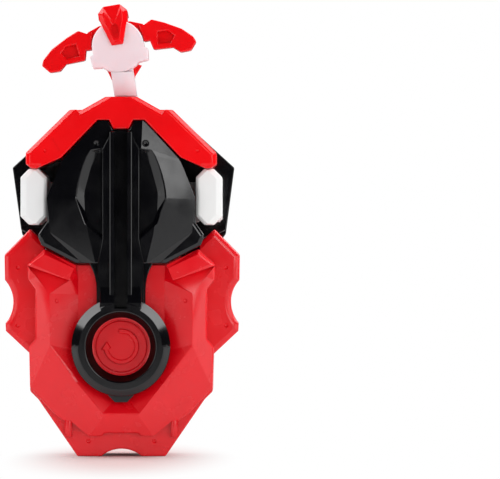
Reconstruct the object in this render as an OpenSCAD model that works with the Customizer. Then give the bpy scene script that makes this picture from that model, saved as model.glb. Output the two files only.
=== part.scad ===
// Spinning top launcher with a pull string, in millimetres.
// It stands on its two feet at Z = 0. X is to the right seen from the front, the arm and the ring
// are at the front (-Y), and the launch disc is at the back (+Y). Depths are measured from the mid
// plane of the grip, which mid_y sets behind or ahead of the origin.

/* [Grip casing] */
// Width of the casing core over its shoulders
core_w = 62.4; // [60:0.2:66]
// Height of the casing core up to its shoulders
core_h = 69; // [67:0.5:71]
// Width over the two side wings
wing_w = 78.8; // [76:0.2:84]
// Thickness of the side wings
wing_t = 9; // [7:0.5:11]
// Radius of the finger scallop in each wing
scallop_r = 11; // [9:0.5:13]
// Depth of the casing over its ridges
ridge_d = 30; // [29:0.2:32]
// Depth of the casing at the outer edge of its raised layer
edge_d = 24; // [22.8:0.2:26]
// Depth of the casing at the floors of its two recesses
floor_d = 24; // [23.6:0.1:24.4]
// Depth of the foot plate
foot_d = 20; // [18:0.5:22]
// Wall under the recess floors
floor_wall = 1.6; // [1.2:0.1:2]
// Side wall of the casing
side_wall = 2; // [1.6:0.1:2.4]
// Radius of the arch between the feet
arch_r = 10.2; // [9:0.2:12]
// Height of the arch between the feet
arch_h = 2.5; // [2:0.1:3]
// Radius of the screw wells in the back
well_r = 3.4; // [3.2:0.1:3.6]
// Radius of the engraved circle on each recess floor
mark_r = 9.2; // [8.6:0.1:9.4]

/* [Tongue that carries the head] */
// Width of the tongue
tongue_w = 39; // [36:0.5:40]
// Thickness of the tongue
tongue_t = 19.2; // [18.6:0.1:19.4]

/* [Gear train] */
// Gear module
gear_module = 1; // [0.95:0.05:1.05]
// Teeth of the drum gear
drum_teeth = 40; // [38:1:41]
// Teeth of the idler gear
idler_teeth = 15; // [14:1:16]
// Teeth of the output gear
output_teeth = 24; // [22:1:26]
// Pressure angle of the teeth
pressure_angle = 20; // [20:1:25]
// Backlash at each mesh, on the pitch circles
backlash = 0.24; // [0.16:0.02:0.3]
// Thickness of the gears
gear_t = 6; // [5:0.2:6.4]
// Height of the drum axis over the ground
drum_axis_h = 36.6; // [36:0.2:37.2]

/* [String drum] */
// Radius of the spool core
spool_r = 9.5; // [8.5:0.25:10.5]
// Radius of the wound string at rest
winding_r = 12.5; // [11.5:0.25:13.5]
// Diameter of the string
string_d = 1.2; // [1:0.1:1.4]
// Distance of the string plane in front of the mid plane
string_depth = 7; // [6.9:0.05:7.1]
// Radius of the drum axle
drum_axle_r = 2; // [1.5:0.1:2.4]
// Radius of the idler axle
idler_axle_r = 1.5; // [1.2:0.1:1.8]
// Thickness of the spring strip
spring_strip_t = 0.5; // [0.3:0.05:0.6]
// Turns of the spring
spring_turns = 6; // [4:1:8]

/* [Launcher head] */
// Width of the rear housing
head_w = 75; // [73:0.5:77]
// Outer radius of the collar round the disc
collar_r = 26.5; // [26:0.1:27]
// Distance of the collar edge behind the mid plane
collar_back = 21; // [20.6:0.1:21.6]
// Width of each side post
post_w = 8.8; // [8.4:0.1:9.2]
// Width of the arm
arm_w = 16.2; // [15:0.2:17]
// Outer radius of the ring
ring_r = 16.4; // [16:0.1:16.6]
// Radius of the ring mouth
ring_mouth_r = 11.8; // [11.2:0.1:12.4]
// Radius of the window at the bottom of the ring
ring_window_r = 9.6; // [9.5:0.1:10]
// Distance of the ring face in front of the mid plane
ring_front = 19.5; // [19:0.1:20]

/* [Launch disc] */
// Radius of the launch disc
disc_r = 23.5; // [23:0.1:23.8]
// Radius to the middle of the two prongs
prong_r = 16.2; // [15:0.1:17]
// Height of the prongs over the disc face
prong_h = 4.6; // [3:0.2:6]
// Radius of the disc shaft
shaft_r = 3; // [2.6:0.1:3.4]

/* [Pull handle] */
// Span of the handle over its wings
handle_span = 52.4; // [48:0.4:56]
// Radius of the translucent core
handle_core_r = 8.7; // [8.2:0.1:9.2]
// Width of the neck
neck_w = 7.5; // [7:0.1:8]
// Thickness of the neck
neck_t = 6.8; // [6.4:0.1:7.2]
// Lean of the handle as it rests in the mouth
handle_lean = 9; // [6:0.5:10]

/* [Fits] */
// Clearance round a running shaft and round a seated pin
run_gap = 0.05; // [0.03:0.01:0.08]
// Clearance between parts that slide past each other
slide_gap = 0.3; // [0.2:0.05:0.4]

/* [Hidden] */
$fn = 64;

// Colours
red = "#e0202a";
dark = "#151517";
white = "#f2f2f4";
milky = "#f3dfe4";
steel = "#b9bcc2";
brass = "#c9a24b";
cord = "#e9e9e4";

// One overrun serves every cut, and one unit of wall thickness the small steps of the mouldings
over = 1;
wall_unit = 1;

// Half sizes and depths of the casing
core_x = core_w / 2;
wing_x = wing_w / 2;
ridge_y = ridge_d / 2;
edge_y = edge_d / 2;
floor_y = floor_d / 2;
foot_y = foot_d / 2;
cavity_y = floor_y - floor_wall;
tongue_y = tongue_t / 2;
tongue_x = tongue_w / 2;

// Gear radii, axes and the height of the disc axis
drum_pitch_r = gear_module * drum_teeth / 2;
idler_pitch_r = gear_module * idler_teeth / 2;
output_pitch_r = gear_module * output_teeth / 2;
drum_z = drum_axis_h;
idler_z = drum_z + drum_pitch_r + idler_pitch_r;
disc_z = idler_z + idler_pitch_r + output_pitch_r;
gear_half = gear_t / 2;
flank_steps = 4;
gear_slot_y = gear_half + 2 * slide_gap;
idler_slot_x = idler_pitch_r + gear_module + 3 * slide_gap;
tongue_top = disc_z - output_pitch_r + 1.4 * gear_module;

// The body top edge, where the head sits
head_seat_z = idler_z - slide_gap;

// Depths of the rear housing and of the disc
plate_back = ridge_y + slide_gap;
plate_front = tongue_y + slide_gap;
cover_back = plate_back + 2.9 * wall_unit;
collar_wall = 2.5;
collar_bore_r = collar_r - collar_wall;
collar_floor = plate_back + 2.2 * wall_unit;
disc_under = collar_floor + slide_gap;
disc_face = collar_back - 0.1 * wall_unit;
disc_rim = collar_back + 0.5 * wall_unit;
prong_back = disc_face + prong_h;

// The mid plane lies where the whole depth is centred on the origin
mid_y = (ring_front - prong_back) / 2;

// Scale of the head outlines and of the handle outlines
head_x = head_w / 2;
handle_x = handle_span / 2;

// The cap top and the rest place of the handle
cap_top = disc_z + 0.96 * head_x;
mouth_floor = cap_top - 2.4 * wall_unit;
lean_z = cap_top + 0.32 * handle_x;
core_rise = 0.34 * handle_x;

// Outlines as shares of the sizes that they follow, right half from the bottom up
core_shares = [
    [0.47, 0], [0.888, 0.275], [0.974, 0.313], [0.984, 0.529], [0.913, 0.568], [0.913, 0.807],
    [0.99, 0.854], [1, 0.926], [0.82, 1], [0.487, 0.925]
];
raised_shares = [
    [0.176, 0.113], [0.208, 0.099], [0.343, 0.099], [0.548, 0.175], [0.6, 0.168],
    [0.718, 0.207], [0.974, 0.33], [0.984, 0.529], [0.913, 0.568], [0.913, 0.807],
    [0.99, 0.854], [1, 0.926], [0.82, 1], [0.487, 0.925]
];
ridge_shares = [[0.18, 0.2], [0.76, 0.535], [0.76, 0.787], [0.548, 0.852], [0.487, 0.9]];
shoulder_shares = [[0.548, 0.852], [0.97, 0.925], [0.82, 0.975], [0.487, 0.905]];
recess_floor_shares = [
    [0.07, 0.275], [0.247, 0.357], [0.46, 0.507], [0.46, 0.78], [0.46, 0.85], [0.47, 0.925],
    [0.47, 1.1]
];
recess_rim_shares = [
    [0.2, 0.21], [0.47, 0.365], [0.76, 0.54], [0.76, 0.787], [0.548, 0.852], [0.487, 0.925],
    [0.487, 1.1]
];
wing_shares = [[0.66, 0.428], [0.987, 0.603], [0.99, 0.629], [1, 0.972], [0.784, 1.097], [0.66, 1.029]];
well_shares = [[0.843, 0.933], [0.82, 0.37], [0, 0.172]];

// Outlines of the head, from the disc axis, as shares of its half width
plate_shares = [
    [0.4, -0.515], [0.704, -0.357], [0.733, -0.291], [0.733, -0.259], [0.656, -0.147],
    [0.656, 0.067], [0.52, 0.408], [0.208, 0.747], [0.117, 0.747], [0.077, 0.669]
];
housing_shares = [
    [0.4, -0.515], [0.56, -0.436], [0.6, -0.33], [0.92, -0.24], [0.96, -0.22], [1, 0.344],
    [0.605, 0.704]
];
cover_shares = [
    [0.3, -0.575], [0.52, -0.485], [0.928, -0.3], [0.96, -0.255], [1, 0.344], [0.605, 0.704]
];
cap_shares = [
    [0.069, 0.677], [0.107, 0.755], [0.208, 0.755], [0.527, 0.423], [0.748, 0.325],
    [0.797, 0.325], [0.845, 0.365], [0.845, 0.464], [0.456, 0.845], [0.344, 0.845],
    [0.141, 0.96]
];
cap_edges = [4, 6, 7, 9];
frame_shares = [
    [0.12, -0.19], [0.62, -0.19], [0.62, 0.07], [0.5, 0.36], [0.3, 0.56], [0.12, 0.56]
];

// Outlines of the handle, from the centre of its core, as shares of its half span
wing_bar_shares = [
    [0.345, 0.012], [0.412, 0.015], [0.443, -0.107], [0.695, -0.118], [0.782, -0.195],
    [0.916, -0.191], [1, -0.092], [0.97, -0.02], [0.84, 0.1], [0.63, 0.214], [0.473, 0.279],
    [0.37, 0.225], [0.295, 0.25]
];
keel_shares = [[0.073, 0.019], [0.17, 0.32], [0.187, 0.447], [0.107, 0.527]];

// Mirrors a right half outline to the left
function mirrored(half) = concat(half,
    [for (i = [len(half) - 1 : -1 : 0]) if (half[i].x > 0) [-half[i].x, half[i].y]]);

// Mirrors a whole outline, and keeps it anticlockwise
function flipped(points) = [for (i = [len(points) - 1 : -1 : 0]) [-points[i].x, points[i].y]];

// Scales a table of shares
function scaled(shares, width, height) = [for (s = shares) [s.x * width, s.y * height]];

// Raises an outline
function raised(points, height) = [for (p = points) [p.x, p.y + height]];

// Points of an arc about a centre
function arc(centre, radius, from, to, steps) = [
    for (i = [0 : steps])
        let (a = from + (to - from) * i / steps)
        centre + radius * [cos(a), sin(a)]
];

// Unit inward normal of an edge of an outline that runs anticlockwise
function inward(a, b) = [a.y - b.y, b.x - a.x] / norm(b - a);

// Moves a corner inward by the same distance from both of its edges
function inset_corner(a, b, c, distance) =
    let (first = inward(a, b), second = inward(b, c))
    b + (first + second) * distance / (1 + first * second);

// Draws an outline in by a distance
function inset(points, distance) =
    let (n = len(points))
    [for (i = [0 : n - 1])
        inset_corner(points[(i + n - 1) % n], points[i], points[(i + 1) % n], distance)];

// Involute of a base circle at an angle of unrolling
function involute(base, angle) = base * [
    cos(angle) + angle * PI / 180 * sin(angle), sin(angle) - angle * PI / 180 * cos(angle)];

// Turns a point about the origin
function turned(p, angle) = [
    p.x * cos(angle) - p.y * sin(angle), p.x * sin(angle) + p.y * cos(angle)];

// Angle of unrolling at which an involute reaches a radius
function unroll_angle(base, radius) = sqrt(pow(radius / base, 2) - 1) * 180 / PI;

// Outline of an involute gear with a tooth on the X axis
function gear_outline(teeth, play) =
    let (
        pitch = gear_module * teeth / 2,
        base = pitch * cos(pressure_angle),
        tip = pitch + gear_module,
        root = pitch - 1.25 * gear_module,
        start = max(base, root),
        unroll_pitch = unroll_angle(base, pitch),
        polar_pitch = unroll_pitch - atan(unroll_pitch * PI / 180),
        half_tooth = 90 / teeth - play / pitch * 90 / PI + polar_pitch,
        low = unroll_angle(base, start),
        high = unroll_angle(base, tip),
        flank = [for (i = [0 : flank_steps])
            turned(involute(base, low + (high - low) * i / flank_steps), -half_tooth)]
    )
    [for (k = [0 : teeth - 1])
        let (at = 360 * k / teeth)
        each concat(
            [turned([root, 0], at - half_tooth)],
            [for (p = flank) turned(p, at)],
            [for (i = [flank_steps : -1 : 0]) turned([flank[i].x, -flank[i].y], at)],
            [turned([root, 0], at + half_tooth)]
        )];

// Strip wound in a spiral, as one closed outline
function spiral_strip(inner, outer, turns, thick, steps) =
    let (count = turns * steps)
    concat(
        [for (i = [0 : count])
            let (a = 360 * i / steps, r = inner + (outer - thick - inner) * i / count)
            r * [cos(a), sin(a)]],
        [for (i = [count : -1 : 0])
            let (a = 360 * i / steps, r = inner + (outer - thick - inner) * i / count + thick)
            r * [cos(a), sin(a)]]
    );

// Prism of a flat outline between two depths, where +Y is to the back
module slab(y_front, y_back) {
    translate([0, y_back, 0])
        rotate([90, 0, 0])
            linear_extrude(y_back - y_front)
                children();
}

// Round bar along Y
module rod(x, z, radius, y_front, y_back) {
    translate([x, y_front, z])
        rotate([-90, 0, 0])
            cylinder(r = radius, h = y_back - y_front);
}

// Revolved profile about an axis along Y, drawn as points of radius and distance behind the mid plane
module turned_back(x, z) {
    translate([x, 0, z])
        rotate([-90, 0, 0])
            rotate_extrude($fn = 96)
                children();
}

// The same with the distances in front of the mid plane
module turned_front(x, z) {
    translate([x, 0, z])
        rotate([90, 0, 0])
            rotate_extrude($fn = 96)
                children();
}

// Solid through a row of outlines with as many points each, from the front to the back
module loft(outlines, depths) {
    n = len(outlines[0]);
    last = (len(outlines) - 1) * n;
    points = [for (k = [0 : len(outlines) - 1]) for (p = outlines[k]) [p.x, depths[k], p.y]];
    front = [[for (i = [n - 1 : -1 : 0]) i]];
    back = [[for (i = [0 : n - 1]) last + i]];
    sides = [for (k = [0 : len(outlines) - 2]) for (i = [0 : n - 1])
        let (a = k * n + i, b = k * n + (i + 1) % n)
        each [[a, b, b + n], [a, b + n, a + n]]];
    polyhedron(points, concat(front, back, sides));
}

// Plate whose front edge is bevelled, with flat four-cornered sides
module bevelled(points, y_front, y_back, width, drop) {
    n = len(points);
    face = inset(points, width);
    corners = concat([for (p = face) [p.x, y_front, p.y]], [for (p = points) [p.x, y_front + drop, p.y]],
        [for (p = points) [p.x, y_back, p.y]]);
    ends = [[for (i = [n - 1 : -1 : 0]) i], [for (i = [0 : n - 1]) 2 * n + i]];
    sides = [for (k = [0, 1]) for (i = [0 : n - 1])
        let (a = k * n + i, b = k * n + (i + 1) % n) [a, b, b + n, a + n]];
    polyhedron(corners, concat(ends, sides));
}

// Cuts a bevel along the edge from a to b of an outline, on the face at a depth
module edge_cut(a, b, y_face, width, drop, reach) {
    along = norm(b - a);
    translate([a.x, y_face, a.y])
        rotate([0, -atan2(b.y - a.y, b.x - a.x), 0])
            translate([-reach, 0, 0])
                rotate([0, 90, 0])
                    linear_extrude(along + 2 * reach)
                        polygon([[-2 * width, -drop], [width, -drop], [width, 2 * drop]]);
}

// Both sides of a symmetric piece
module both_sides() {
    children();
    mirror([1, 0, 0])
        children();
}

// Puts a piece at its place in the depth of the launcher
module placed() {
    translate([0, mid_y, 0])
        children();
}

// Casing outlines
core_outline = mirrored(scaled(core_shares, core_x, core_h));
raised_outline = mirrored(scaled(raised_shares, core_x, core_h));
ridge_outline = mirrored(scaled(ridge_shares, core_x, core_h));
scallop_x = wing_x + 0.73 * scallop_r;
scallop_z = 0.743 * core_h;
wing_outline = scaled(wing_shares, wing_x, core_h);
cavity_low = 6;
wing_bevel = 1.6;
mark_groove = 0.4;
mark_line = 0.6;

// Screws of the casing
casing_screw_r = 1.3;
casing_head_r = 2.7;
casing_head_t = 1.8;
casing_seat_y = 4.2;
casing_screw_tip = 8;
boss_r = 2.6;
well_wall = 1;

// Front half of the casing before its bosses, with the ridges, the recess and the cavity
module casing_half() {
    difference() {
        union() {
            slab(-foot_y, over)
                polygon(core_outline);
            intersection() {
                slab(-ridge_y - over, over)
                    polygon(raised_outline);
                hull() {
                    slab(-edge_y, -foot_y / 2)
                        polygon(raised_outline);
                    slab(-ridge_y, -edge_y)
                        polygon(ridge_outline);
                }
            }
            both_sides()
                casing_shoulder();
            both_sides()
                casing_wing();
            slab(-tongue_y, over)
                tongue_shape();
        }
        recess();
        for (shares = [plate_shares, housing_shares])
            slab(-ridge_y - over, -tongue_y - slide_gap / 2)
                polygon(inset(head_outline(shares), -slide_gap));
        translate([0, 0, arch_h - arch_r])
            rod(0, 0, arch_r, -ridge_y - over, 2 * over);
        casing_cavity();
        translate([-wing_x, 0, -over])
            cube([wing_w, 3 * over, 2 * core_h]);
    }
}

// Right wing with its finger scallop and bevelled rim
module casing_wing() {
    difference() {
        slab(-wing_t / 2, over)
            polygon(wing_outline);
        rod(scallop_x, scallop_z, scallop_r, -wing_t, 2 * over);
        translate([scallop_x, -wing_t / 2 - wing_bevel / 2, scallop_z])
            rotate([-90, 0, 0])
                cylinder(r1 = scallop_r + 2 * wing_bevel, r2 = scallop_r - wing_bevel, h = 1.5 * wing_bevel);
        for (i = [0, 3, 4])
            edge_cut(wing_outline[i], wing_outline[i + 1], -wing_t / 2, wing_bevel, wing_bevel / 2,
                wing_bevel);
        edge_cut(wing_outline[2], wing_outline[3], -wing_t / 2, wing_bevel, wing_bevel / 2, wing_bevel);
    }
}

// Shoulder block beside the head
module casing_shoulder() {
    intersection() {
        slab(-ridge_y - over, 0)
            polygon(raised_outline);
        hull() {
            slab(-edge_y, -foot_y / 2)
                polygon(scaled([[0.487, 0.8], [1, 0.85], [1, 0.926], [0.82, 1], [0.487, 0.925]],
                    core_x, core_h));
            slab(-ridge_y, -edge_y)
                polygon(scaled(shoulder_shares, core_x, core_h));
        }
    }
}

// Tongue that stands up into the head
module tongue_shape() {
    corner = 0.12 * tongue_w;
    polygon(mirrored([
        [tongue_x, head_seat_z - corner], [tongue_x, tongue_top - corner / 2],
        [tongue_x - corner / 2, tongue_top]
    ]));
}

// Recess in which the arm and the ring lie, with its sloped sides
module recess() {
    floor_outline = mirrored(scaled(recess_floor_shares, core_x, core_h));
    rim_outline = mirrored(scaled(recess_rim_shares, core_x, core_h));
    loft([rim_outline, rim_outline, floor_outline], [-ridge_y - over, -ridge_y, -floor_y]);
    difference() {
        rod(0, drum_z, mark_r, -floor_y - over, -floor_y + mark_groove);
        rod(0, drum_z, mark_r - mark_line, -floor_y - 2 * over, -floor_y + mark_groove + over);
    }
}

// Hollow of one casing half, and the slots through the tongue
module casing_cavity() {
    cavity_top = head_seat_z - 2 * side_wall;
    intersection() {
        union() {
            slab(-foot_y + floor_wall, over)
                polygon(inset(core_outline, side_wall));
            slab(-cavity_y, over)
                polygon(inset(raised_outline, 1.25 * side_wall));
        }
        translate([-core_x, -cavity_y - over, cavity_low])
            cube([core_w, cavity_y + 2 * over, cavity_top - cavity_low]);
    }
    translate([-idler_slot_x, -gear_slot_y, idler_z - 2 * idler_pitch_r])
        cube([2 * idler_slot_x, gear_slot_y + over, 4 * idler_pitch_r]);
    translate([-idler_slot_x - string_d, -string_depth - 1.2 * string_d, cavity_top - over])
        cube([idler_slot_x + string_d - 2.5 * idler_axle_r, 2.4 * string_d, core_h]);
}

// Places of the five casing screws
well_places = [for (s = mirrored(well_shares)) [s.x * core_x, s.y * core_h]];

module body_front_shell() {
    color(red)
        placed()
            difference() {
                union() {
                    casing_half();
                    for (p = well_places)
                        rod(p.x, p.y, boss_r, -cavity_y - floor_wall / 2, 0);
                    rod(0, drum_z, 2 * drum_axle_r, -cavity_y - floor_wall / 2, -cavity_y + slide_gap / 2);
                }
                for (p = well_places)
                    rod(p.x, p.y, casing_screw_r + run_gap, -casing_screw_tip - slide_gap, over);
                rod(0, drum_z, drum_axle_r + run_gap, -cavity_y - floor_wall / 2, over);
                rod(0, idler_z, idler_axle_r + run_gap, -tongue_y + side_wall / 2, over);
            }
}

module body_rear_shell() {
    color(red)
        placed()
            difference() {
                union() {
                    mirror([0, 1, 0])
                        casing_half();
                    for (p = well_places)
                        rod(p.x, p.y, boss_r, 0, cavity_y);
                    for (p = well_places)
                        rod(p.x, p.y, well_r + well_wall, casing_seat_y - casing_head_t / 2,
                            p.x == 0 ? floor_y : edge_y);
                    rod(0, drum_z, 2 * drum_axle_r, cavity_y - slide_gap / 2,
                        cavity_y + floor_wall / 2);
                }
                for (p = well_places) {
                    rod(p.x, p.y, well_r, casing_seat_y, ridge_y + over);
                    rod(p.x, p.y, casing_screw_r + run_gap, -over, casing_seat_y + over);
                }
                rod(0, drum_z, drum_axle_r + run_gap, -over, cavity_y + floor_wall / 2);
                rod(0, idler_z, idler_axle_r + run_gap, -over, tongue_y - side_wall / 2);
            }
}

// Screw along Y with its cross recess, head to the back
module cross_screw(x, z, shank_r, head_r, head_t, y_tip, y_seat) {
    difference() {
        union() {
            rod(x, z, shank_r, y_tip, y_seat + head_t / 2);
            rod(x, z, head_r, y_seat, y_seat + head_t);
        }
        for (turn = [0, 90])
            translate([x, y_seat + head_t, z])
                rotate([0, turn, 0])
                    cube([1.3 * head_r, head_t, 0.3 * head_r], center = true);
    }
}

module body_screws() {
    color(steel)
        placed()
            for (p = well_places)
                cross_screw(p.x, p.y, casing_screw_r, casing_head_r, casing_head_t,
                    -casing_screw_tip, casing_seat_y);
}

module drum_axle() {
    reach = cavity_y + floor_wall / 2 - run_gap;
    color(steel)
        placed()
            rod(0, drum_z, drum_axle_r, -reach, reach);
}

module idler_axle() {
    reach = tongue_y - side_wall / 2 - run_gap;
    color(steel)
        placed()
            rod(0, idler_z, idler_axle_r, -reach, reach);
}

// Depths along the drum
spool_half = 1.75 * string_d;
flange_t = 1;
spool_front = string_depth + spool_half;
drum_front = spool_front + flange_t;
spool_back = string_depth - spool_half;
flange_r = winding_r + 3;
drum_hub_r = 8;
arbor_r = 2 * drum_axle_r;
cover_front = gear_half + slide_gap + 0.2 * wall_unit;
cover_t = 0.9;
cover_r = 0.9 * drum_pitch_r;
spring_r = cover_r - 2 * cover_t;

module string_drum() {
    color(white)
        placed()
            difference() {
                union() {
                    rod(0, drum_z, flange_r, -drum_front, -spool_front);
                    rod(0, drum_z, spool_r, -spool_front, -spool_back);
                    rod(0, drum_z, flange_r, -spool_back, -gear_half - slide_gap / 2);
                    rod(0, drum_z, drum_hub_r, -spool_back, gear_half);
                    for (turn = [0 : 120 : 240])
                        translate([0, 0, drum_z])
                            rotate([0, turn, 0])
                                translate([-wall_unit, -gear_half - slide_gap, 0])
                                    cube([2 * wall_unit, gear_t + slide_gap, drum_hub_r + wall_unit]);
                    rod(0, drum_z, arbor_r, 0, cavity_y - slide_gap);
                }
                rod(0, drum_z, drum_axle_r + run_gap, -drum_front - over, cavity_y + over);
            }
}

module drum_gear() {
    web_r = (drum_hub_r + drum_pitch_r) / 2 + wall_unit / 4;
    hole_r = 0.14 * drum_pitch_r;
    color(white)
        placed()
            difference() {
                translate([0, 0, drum_z])
                    slab(-gear_half, gear_half)
                        rotate(90)
                            polygon(gear_outline(drum_teeth, backlash / 2));
                rod(0, drum_z, drum_hub_r + run_gap, -gear_t, gear_t);
                for (turn = [0 : 120 : 240])
                    translate([0, 0, drum_z])
                        rotate([0, turn, 0])
                            translate([-wall_unit - run_gap, -gear_t, 0])
                                cube([2 * (wall_unit + run_gap), 2 * gear_t,
                                    drum_hub_r + wall_unit + run_gap]);
                for (turn = [30 : 60 : 330])
                    rod(web_r * cos(turn), drum_z + web_r * sin(turn), hole_r, -gear_t, gear_t);
            }
}

module wound_string() {
    color(cord)
        placed()
            difference() {
                rod(0, drum_z, winding_r, -spool_front + run_gap, -spool_back - run_gap);
                rod(0, drum_z, spool_r + run_gap, -spool_front - over, -spool_back + over);
            }
}

// The idler turns on its axle, with a gap between teeth facing the drum
module idler_gear() {
    hub_half = gear_slot_y - slide_gap / 2;
    color(white)
        placed()
            difference() {
                union() {
                    translate([0, 0, idler_z])
                        slab(-gear_half, gear_half)
                            rotate(-90 + 180 / idler_teeth)
                                polygon(gear_outline(idler_teeth, backlash / 2));
                    rod(0, idler_z, 2 * idler_axle_r, -hub_half, hub_half);
                }
                rod(0, idler_z, idler_axle_r + run_gap, -gear_t, gear_t);
            }
}

module return_spring() {
    color(steel)
        placed()
            translate([0, 0, drum_z])
                slab(cover_front + cover_t + slide_gap, cavity_y - 2 * slide_gap)
                    polygon(spiral_strip(arbor_r + slide_gap, spring_r - run_gap, spring_turns,
                        spring_strip_t, 24));
}

module spring_cover() {
    color(dark)
        placed()
            difference() {
                rod(0, drum_z, cover_r, cover_front, cavity_y - run_gap);
                rod(0, drum_z, spring_r, cover_front + cover_t, cavity_y + over);
                rod(0, drum_z, arbor_r + 2 * slide_gap, cover_front - over, cavity_y);
            }
}

// Outlines of the head at their height
function head_outline(shares) = mirrored(raised(scaled(shares, head_x, head_x), disc_z));

// Layers of the front plate, as distances in front of the mid plane
front_back = tongue_y + slide_gap;
arm_back = floor_y + slide_gap + run_gap;
front_field = arm_back + 2.4 * wall_unit;
front_fin = arm_back + 4.6 * wall_unit;
front_arm = arm_back + 4.9 * wall_unit;
front_rib = arm_back + 5.9 * wall_unit;
channel_x = 0.13 * arm_w;
channel_low = drum_z + ring_mouth_r + 0.9 * wall_unit;
rib_x = 0.23 * arm_w;
arm_x = arm_w / 2;
flare_r = 0.45 * head_x;
flare_from = 180;
flare_to = 117;
valley_from = 1;
valley_to = 31;

// Arm with its flare up to the plate
module arm_shape() {
    flare_z = disc_z - 0.515 * head_x;
    polygon(mirrored(concat([[arm_x, drum_z + ring_mouth_r]],
        arc([arm_x + flare_r, flare_z - 0.235 * head_x], flare_r, flare_from, flare_to, 8),
        [[0.4 * head_x, flare_z + over]])));
}

// Valley on the right of the arm: its curved brink at the face and its floor
module valley() {
    brink = concat([[0.317 * head_x, disc_z - 0.16 * head_x]],
        arc([-0.43 * head_x, disc_z + 0.06 * head_x], 0.83 * head_x, valley_from, valley_to, 6));
    hull() {
        slab(-front_fin - over, -front_field - 1.6 * wall_unit)
            polygon(concat([[arm_x - 2 * wall_unit, disc_z - 0.3 * head_x]], brink,
                [[arm_x - 2 * wall_unit, disc_z + 0.5 * head_x]]));
        slab(-front_fin - over, -front_field + wall_unit)
            polygon([[arm_x - 2 * wall_unit, disc_z - 0.22 * head_x],
                [0.27 * head_x, disc_z - 0.13 * head_x], [0.28 * head_x, disc_z + 0.08 * head_x],
                [0.21 * head_x, disc_z + 0.34 * head_x],
                [arm_x - 2 * wall_unit, disc_z + 0.44 * head_x]]);
    }
}

module head_front_plate() {
    outline = head_outline(plate_shares);
    tip = drum_z - ring_r;
    color(dark)
        placed()
            difference() {
                union() {
                    bevelled(outline, -front_field, -front_back, wall_unit, wall_unit / 2);
                    slab(-front_field, -arm_back)
                        arm_shape();
                    difference() {
                        plate_facets();
                        both_sides()
                            valley();
                    }
                    slab(-front_arm, -arm_back)
                        polygon(mirrored([[arm_x - wall_unit / 2, drum_z + ring_mouth_r],
                            [arm_x - wall_unit / 2, disc_z - 0.5 * head_x],
                            [arm_x - 2 * wall_unit, disc_z - 0.3 * head_x],
                            [arm_x - 2 * wall_unit, disc_z + 0.5 * head_x],
                            [rib_x, disc_z + 0.62 * head_x]]));
                    both_sides()
                        translate([channel_x, -front_rib, drum_z + ring_r])
                            cube([rib_x - channel_x, front_rib - arm_back,
                                disc_z + 0.65 * head_x - drum_z - ring_r]);
                    turned_front(0, drum_z)
                        polygon([[ring_window_r, arm_back], [0.8 * ring_r, arm_back],
                            [ring_r, ridge_y + slide_gap], [ring_r, ring_front - 2 * wall_unit],
                            [ring_r - 2 * wall_unit, ring_front], [ring_mouth_r, ring_front],
                            [ring_mouth_r - wall_unit / 4, ring_front - wall_unit / 4]]);
                    slab(-ridge_y - wall_unit, -arm_back - wall_unit)
                        polygon(mirrored([[2 * wall_unit, tip - 2 * wall_unit],
                            [0.26 * ring_r, tip + wall_unit / 4], [0.26 * ring_r, tip + 2 * wall_unit]]));
                    ring_ramp();
                    ring_arcs();
                    for (p = head_screw_places)
                        rod(p.x, p.y, head_boss_r, -front_back - wall_unit, frame_front - run_gap);
                    cheeks();
                }
                translate([-channel_x, -ring_front - over, channel_low])
                    cube([2 * channel_x, ring_front + over - front_field + wall_unit,
                        disc_z + 0.665 * head_x + wall_unit / 5 - channel_low]);
                turned_front(0, drum_z)
                    polygon([[0, arm_back - over], [ring_window_r, arm_back - over],
                        [ring_window_r, arm_back], [ring_mouth_r - wall_unit / 4,
                        ring_front - wall_unit / 4], [ring_mouth_r, ring_front],
                        [ring_mouth_r, ring_front + over], [0, ring_front + over]]);
                for (p = head_screw_places)
                    rod(p.x, p.y, head_screw_r + run_gap, -head_screw_tip - slide_gap, frame_front + over);
            }
}

// Slope from the ring face down to the arm
module ring_ramp() {
    ramp_x = arm_x - 1.2 * wall_unit;
    hull() {
        slab(-ring_front + wall_unit / 4, -front_field)
            translate([-ramp_x, drum_z + ring_mouth_r + 1.4 * wall_unit])
                square([2 * ramp_x, 1.4 * wall_unit]);
        slab(-front_arm, -front_field)
            translate([-ramp_x, drum_z + ring_mouth_r + 1.4 * wall_unit])
                square([2 * ramp_x, ring_r - ring_mouth_r + 2 * wall_unit]);
    }
}

// Raised arcs on the upper half of the ring, which end in a step at its sides
module ring_arcs() {
    arc_in = arm_x - 0.3 * wall_unit;
    intersection() {
        turned_front(0, drum_z)
            polygon([[ring_r - 3 * wall_unit, ring_front - 2.5 * wall_unit],
                [ring_r - 2.5 * wall_unit, ring_front], [ring_r - wall_unit, ring_front],
                [ring_r - wall_unit / 8, ring_front - wall_unit],
                [ring_r - wall_unit / 8, ring_front - 2.5 * wall_unit]]);
        both_sides()
            translate([arc_in, -ring_front - over, drum_z])
                cube([ring_r, ring_front, 2 * ring_r]);
    }
}

// Raised middle of the plate with its sloped facets
module plate_facets() {
    low = disc_z - 0.56 * head_x;
    crease = disc_z + 0.053 * head_x;
    intersection() {
        slab(-front_fin, -front_back)
            polygon(head_outline(plate_shares));
        hull() {
            slab(-front_field, -front_back)
                polygon(mirrored([[0.3 * head_x, low], [0.63 * head_x, crease - 0.3 * head_x],
                    [0.66 * head_x, crease], [0.56 * head_x, crease + 0.33 * head_x],
                    [0.19 * head_x, crease + 0.7 * head_x]]));
            slab(-front_field - 2 * wall_unit, -front_field)
                polygon(mirrored([[0.22 * head_x, low + over], [0.29 * head_x, crease - 0.3 * head_x],
                    [0.32 * head_x, crease], [0.18 * head_x, crease + 0.42 * head_x]]));
        }
    }
}

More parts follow.
